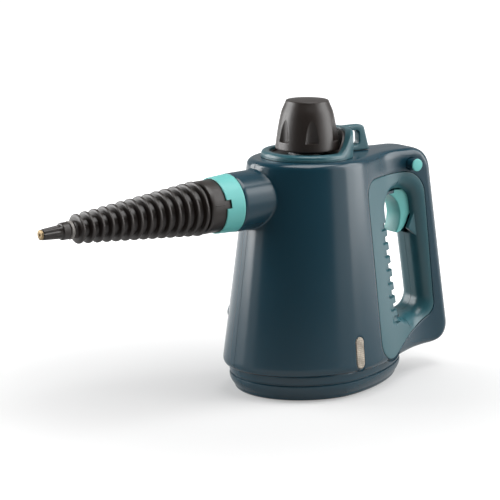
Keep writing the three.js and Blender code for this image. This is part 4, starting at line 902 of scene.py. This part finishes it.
def trigger_skin():
    skin = Skin()
    following = TRIGGER_LINE[1:] + TRIGGER_LINE[:1]
    outline = np.concatenate([curve(start, control, end, steps)[:-1]
                              for (start, control, steps), (end, *_) in zip(TRIGGER_LINE, following)])
    plate(skin, outline, [circle(PIVOT_X, PIVOT_Z, PIVOT_BORE, 24)], TRIGGER_HALF, TRIGGER_EDGE, 1.6)
    return skin


def cheek_skin(side):
    """Flat facet that closes the slot beside the trigger's lower end."""
    skin = Skin()
    loop = rounded(CHEEK, 4, (10, 8, 1, 8, 4))
    stations = [(0, CHEEK_LOW), (0, CHEEK_HIGH - CHEEK_EDGE),
                (CHEEK_EDGE * 0.3, CHEEK_HIGH - CHEEK_EDGE * 0.3), (CHEEK_EDGE, CHEEK_HIGH)]
    skin.rows([np.insert(shrunk(loop, by), 1, side * y, 1) for by, y in stations], closed=True)
    for by, y in (stations[0], stations[-1]):
        points, faces = filled(shrunk(loop, by), (), 1.5)
        skin.add(np.insert(points, 1, side * y, 1), faces)
    return skin


def shade_sleeve_skin():
    """Dark sleeve round the bolt's side: painted shade on the turquoise bolt, a dark piece where its side is
    seen in shade.
    """
    back = -LOCK_NECK_HALF
    return Skin().turned([(SHADE_SLEEVE_IN, SHADE_SLEEVE_FRONT), (LOCK_RADIUS, SHADE_SLEEVE_FRONT), (LOCK_RADIUS, back),
                          (SHADE_SLEEVE_IN, back), (SHADE_SLEEVE_IN, SHADE_SLEEVE_FRONT)], on_lock, LOCK_SIDES)


def lock_skin():
    skin = Skin()
    profile = [(CORE, -LOCK_OUT)]
    profile += [(LOCK_RADIUS - inward, -LOCK_OUT + down) for inward, down in round_off(LOCK_ROUND)]
    profile += [(LOCK_RADIUS, SHADE_SLEEVE_FRONT), (SHADE_SLEEVE_IN, SHADE_SLEEVE_FRONT), (SHADE_SLEEVE_IN, -LOCK_NECK_HALF),
                (LOCK_NECK, -LOCK_NECK_HALF), (LOCK_NECK, LOCK_NECK_HALF), (LOCK_RADIUS, LOCK_NECK_HALF)]
    profile += [(LOCK_RADIUS - inward, LOCK_BACK - down) for down, inward in round_off(LOCK_ROUND)]
    profile += [(CORE, LOCK_BACK)]
    skin.turned(profile, on_lock, LOCK_SIDES)
    for y in (-LOCK_OUT, LOCK_BACK):
        skin.lid(on_lock(full_turn(LOCK_SIDES), CORE, y))
    return skin


def lens_skin():
    skin = Skin()

    def at(points, down):
        x, z = points.T
        return np.stack([x, side_width(x, z) + LENS_PROUD - down, z], 1)

    rows = [at(pill(-inward), down) for inward, down in round_off(LENS_EDGE, 5)]
    skin.rows(rows + [at(pill(0), LENS_THICK)], closed=True)
    for grow, down, step in ((-LENS_EDGE, 0, 1.2), (0, LENS_THICK, 1.6)):
        points, faces = filled(pill(grow), (), step)
        skin.add(at(points, down), faces)
    return skin.mirrored()


# Materials: patterns are sized in millimetres on the object

DRIFT, BEAD_PITCH = 45, 1.5
PLASTIC_SHADES, PLASTIC_GLOSS, METAL_SHADES, METAL_GLOSS = (0.96, 1.04), (0.92, 1.08), (0.86, 1), (0.8, 1.25)


def linear(hex_colour, shade=1):
    """sRGB hex as linear RGBA, made darker or lighter by a shade."""
    channels = [int(hex_colour[i:i + 2], 16) / 255 for i in (1, 3, 5)]
    channels = [c / 12.92 if c <= 0.04045 else ((c + 0.055) / 1.055) ** 2.4 for c in channels]
    return (*[min(c * shade, 1) for c in channels], 1)


def feed(tree, made, inputs):
    """Sets inputs of a node by name or number: to a value, or to the socket that it is linked to."""
    for key, value in dict(inputs).items():
        if isinstance(value, bpy.types.NodeSocket):
            tree.links.new(value, made.inputs[key])
        else:
            made.inputs[key].default_value = value


def node(tree, kind, inputs=(), **settings):
    """Adds a shader node with its settings and inputs, and gives its outputs."""
    made = tree.nodes.new("ShaderNode" + kind)
    for name, value in settings.items():
        setattr(made, name, value)
    feed(tree, made, inputs)
    return made.outputs


def started(name):
    """A new material, its tree and the place on the object."""
    material = bpy.data.materials.new(name)
    material.use_nodes = True
    return material, material.node_tree, node(material.node_tree, "TexCoord")["Object"]


def surface(tree, shades, shading, roughness, gloss, drift, relief, marks, inputs):
    """The shader: shades mixed by one pattern, gloss wandering with the next, and marks that stand up."""
    dark, light = shades
    colour = node(tree, "Mix", {"Factor": shading, "A": dark, "B": light}, data_type="RGBA")
    rough = node(tree, "MapRange", {
        "Value": drift, "To Min": roughness * gloss[0], "To Max": roughness * gloss[1]})
    bump = node(tree, "Bump", {"Height": marks, "Distance": relief[0] * MM, "Strength": relief[1]})
    feed(tree, tree.nodes["Principled BSDF"], {
        "Base Color": colour["Result"], "Roughness": rough["Result"], "Normal": bump["Normal"], **inputs})


def moulded(name, colour, roughness, grain, grain_high):
    """A moulded plastic: one even colour with a faint drift in shade and gloss, and the tool's fine grain."""
    material, tree, place = started(name)
    drift, marks = (node(tree, "TexNoise", {
        "Vector": place, "Scale": 1 / (size * MM), "Detail": detail})["Fac"]
        for size, detail in ((DRIFT, 2), (grain, 3)))
    surface(tree, [linear(colour, shade) for shade in PLASTIC_SHADES], drift, roughness, PLASTIC_GLOSS, drift,
            (grain_high, 1), marks, {"IOR": 1.53})
    return material


def metal(name, colour, roughness, stretch, mark, mark_high):
    """A bare metal whose tool marks run the way it was made, dark and dull by turns."""
    material, tree, place = started(name)
    along = node(tree, "Mapping", {"Vector": place, "Scale": stretch})["Vector"]
    marks = node(tree, "TexNoise", {"Vector": along, "Scale": 1 / (mark * MM), "Detail": 4})["Fac"]
    surface(tree, [linear(colour, shade) for shade in METAL_SHADES], marks, roughness, METAL_GLOSS, marks,
            (mark_high, 1), marks, {"Metallic": 1})
    return material


def frosted(name, light, dark, roughness):
    """A milky plastic over a lamp, with the small round beads of its textured face, and painted shade in the
    hollows between the beads.
    """
    material, tree, place = started(name)
    drift = node(tree, "TexNoise", {"Vector": place, "Scale": 1 / (DRIFT * MM), "Detail": 2})["Fac"]
    beads = node(tree, "TexVoronoi", {
        "Vector": place, "Scale": 1 / (BEAD_PITCH * MM), "Randomness": 0.15})["Distance"]
    # Painted shade: the colour darkens from the beads' raised middles to the hollows between them
    shading = node(tree, "MapRange", {"Value": beads, "From Min": 0.15, "From Max": 0.6})["Result"]
    surface(tree, (linear(light), linear(dark)), shading, roughness, PLASTIC_GLOSS, drift, (-0.25, 0.6),
            beads, {"IOR": 1.58, "Subsurface Weight": 0.25, "Subsurface Radius": (0.002, 0.0018, 0.0015)})
    return material


FINISH = {material.name.split(".")[0]: material for material in (
    # ABS from a polished tool: the lamps show in it with soft edges, over a ripple too slight to see as such
    moulded("gloss_teal_abs", "#183b49", 0.2, 2.2, 0.004),
    # ABS from an etched tool: a broad soft sheen. Here and below, the etching is coarser than its real 0.1 mm
    moulded("satin_slate_abs", "#2f5c65", 0.3, 0.5, 0.012),
    moulded("turquoise_abs", "#6dc4bf", 0.38, 0.5, 0.012),
    # Glass filled polypropylene, near black and a little warm: its fibres leave the skin satin, not glossy
    moulded("warm_black_pp", "#2b2522", 0.36, 0.4, 0.014),
    # Silicone rubber from a matt mould: no lamp shows in it
    moulded("black_rubber", "#161616", 0.75, 0.3, 0.03),
    # Plain moulded nylon of the nozzle's washer: dull, with a wide weak sheen
    moulded("grey_plastic", "#8e8a86", 0.5, 0.5, 0.012),
    # Mineral filled insulator from a matt mould: chalky
    moulded("white_insulator", "#dcd7cb", 0.6, 0.6, 0.02),
    # Turned brass, dulled by steam: fine uneven marks break up its highlight
    metal("brass", "#a08c6c", 0.45, (1, 8, 8), 0.6, 0.004),
    # Zinc plated steel: faint level marks, as the drawn sheet keeps them under its plating
    metal("steel", "#b9bcc0", 0.35, (1, 1, 6), 0.8, 0.004),
    # Die cast aluminium: an even fine crust with no direction, so that only a broad grey sheen is left
    metal("cast_aluminium", "#a9acae", 0.5, (1, 1, 1), 1.2, 0.02),
    # Frosted polycarbonate: milky beige, so that it looks lit from within, with a darker beige as painted
    # shade between its beads
    frosted("frosted_plastic", "#d6cdbd", "#94897a", 0.42),
)}


def finish_cad_nodes():
    """Every node that still shows gets the finish of its slot."""
    for thing in bpy.context.scene.objects:
        if thing.type != "MESH" or "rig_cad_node" not in thing:
            continue
        for held in thing.material_slots:
            name = held.material.name if held.material else ""
            for slot, material in FINISH.items():
                if name.startswith(slot):
                    held.material = material


# Stage and light

BEHIND = -towards(AZIMUTH, 0)
FLOOR_HALF = 14
FLOOR_GREY, BACKDROP = 0.45, 1.0
RANGE = ("Value", "From Min", "From Max", "To Min", "To Max")
# Two distances in metres from the part, or behind it, and the floor's strengths there; GLOW is the world's
SHOWN, MIRRORED_NEAR, MIRRORED_BEHIND = (0.1, 0.5, 0.36, 1.0), (0.2, 0.42, 0.16, 0.03), (0.0, 0.5, 0.03, 0.9)
GLOW = (0.1, 0.8, 0.02, 0.45)
LAMP_AIM = Vector((0, 0, 0.1))
# Degrees aside from the camera and up, then distance, width and height in metres, and watts
LAMPS = {"key_softbox": (93, 14, 2.6, 1.9, 3.4, 88), "key_feather": (62, 14, 2.6, 0.9, 3.0, 10),
         "edge_strip": (-94, 4, 2.6, 1.0, 3.0, 80), "edge_feather": (-70, 4, 2.6, 0.7, 3.0, 7),
         "back_softbox": (-118, 6, 2.6, 1.0, 3.0, 50), "top_softbox": (60, 78, 1.3, 1.0, 1.0, 14)}


def emptied(data):
    """The tree of a material or world, emptied, with the place, the ray's path and whether it is seen."""
    data.use_nodes = True
    tree = data.node_tree
    tree.nodes.clear()
    path = node(tree, "LightPath")
    seen = node(tree, "Math", {0: path["Is Camera Ray"], 1: path["Is Transmission Ray"]}, operation="MAXIMUM")
    return tree, node(tree, "TexCoord"), path, seen[0]


def add_floor():
    """A white sweep. It is greyer close to the part, as a shade under it, and the part mirrors a dim one."""
    mesh = bpy.data.meshes.new("floor")
    corners = [(x * FLOOR_HALF, y * FLOOR_HALF, 0) for x, y in ((-1, -1), (1, -1), (1, 1), (-1, 1))]
    mesh.from_pydata(corners, [], [(0, 1, 2, 3)])
    floor = bpy.data.objects.new("floor", mesh)
    bpy.context.scene.collection.objects.link(floor)
    material = bpy.data.materials.new("white_sweep")
    tree, place, path, seen = emptied(material)
    away = node(tree, "VectorMath", {0: place["Object"]}, operation="LENGTH")["Value"]
    behind = node(tree, "VectorMath", {0: place["Object"], 1: BEHIND}, operation="DOT_PRODUCT")["Value"]
    shown, near, beyond = (
        node(tree, "MapRange", zip(RANGE, (value, *ends)), interpolation_type="SMOOTHSTEP")["Result"]
        for value, ends in ((away, SHOWN), (away, MIRRORED_NEAR), (behind, MIRRORED_BEHIND)))
    mirrored = node(tree, "Math", {0: near, 1: beyond}, operation="MAXIMUM")[0]
    to_eye = node(tree, "Math", {0: seen, 1: shown}, operation="MULTIPLY")[0]
    to_gloss = node(tree, "Math", {0: path["Is Glossy Ray"], 1: mirrored}, operation="MULTIPLY")[0]
    strength = node(tree, "Math", {0: to_eye, 1: to_gloss}, operation="ADD")[0]
    white = node(tree, "Emission", {"Strength": strength})[0]
    matt = node(tree, "BsdfDiffuse", {"Color": (FLOOR_GREY, FLOOR_GREY, FLOOR_GREY, 1)})[0]
    both = node(tree, "AddShader", {0: white, 1: matt})[0]
    node(tree, "OutputMaterial", {"Surface": both})
    mesh.materials.append(material)


def add_world():
    """White for the camera; a dim studio for the light, bright only behind the part."""
    world = bpy.data.worlds.new("studio")
    bpy.context.scene.world = world
    tree, place, _, seen = emptied(world)
    behind = node(tree, "VectorMath", {0: place["Generated"], 1: BEHIND}, operation="DOT_PRODUCT")["Value"]
    glow = node(tree, "MapRange", zip(RANGE, (behind, *GLOW)), interpolation_type="SMOOTHSTEP")["Result"]
    strength = node(tree, "Mix", {"Factor": seen, "A": glow, "B": BACKDROP}, data_type="FLOAT")[0]
    light = node(tree, "Background", {"Strength": strength})[0]
    node(tree, "OutputWorld", {"Surface": light})


def add_lights():
    """Soft boxes; the key and the edge strip each have a weaker one beside it where its edge would show too
    sharp in the casing.
    """
    for name, (aside, up, distance, wide, tall, power) in LAMPS.items():
        lamp = bpy.data.lights.new(name, "AREA")
        lamp.shape = "RECTANGLE"
        lamp.size, lamp.size_y, lamp.energy = wide, tall, power
        stand(name, lamp, LAMP_AIM, towards(AZIMUTH + math.radians(aside), math.radians(up)), distance)


# The scene

def dress():
    """Every piece with the body that it rides on, its slot and the nodes that it stands for."""
    casing_half(1).piece("left_casing", "casing", "gloss_teal_abs", ["left_shell"], CASING_WALL)
    casing_half(-1).piece("right_casing", "casing", "gloss_teal_abs", ["right_shell"], CASING_WALL)
    panel = panel_half()
    panel.piece("left_panel", "casing", "satin_slate_abs", ["left_handle_panel"], PANEL_WALL)
    panel.mirrored().piece("right_panel", "casing", "satin_slate_abs", ["right_handle_panel"], PANEL_WALL)
    lens_skin().piece("lens", "casing", "frosted_plastic", ["indicator_lens"])
    collar_skin().piece("collar", "casing", "satin_slate_abs", ["fill_collar"])
    liner_skin().piece("collar_inside", "casing", "warm_black_pp", ["collar_liner"])
    knob_skin().piece("cap", "cap", "warm_black_pp", ["cap_knob"])
    ring_skin().piece("ring", "casing", "turquoise_abs", ["lock_ring"])
    cone_skin().piece("cone", "nozzle", "warm_black_pp", ["nozzle_cone"])
    washer_skin().piece("washer", "nozzle", "grey_plastic", ["nozzle_washer"])
    tip_skin().piece("tip", "nozzle", "warm_black_pp", ["nozzle_tip"])
    jet_skin().piece("jet", "nozzle", "brass", ["brass_jet"])
    for name, side in (("left_cheek", 1), ("right_cheek", -1)):
        cheek_skin(side).piece(name, "casing", "satin_slate_abs")
    trigger_skin().piece("trigger_lever_skin", "trigger_lever", "turquoise_abs", ["trigger"])
    lock_skin().piece("button", "lock", "turquoise_abs", ["lock_button"])
    # The sleeve is painted shade: a dark piece over the bolt's turquoise side, where shade falls on it
    shade_sleeve_skin().piece("button_sleeve", "lock", "gloss_teal_abs")


bpy.context.scene.view_settings.view_transform = "Standard"
add_camera()
dress()
finish_cad_nodes()
add_floor()
add_world()
add_lights()
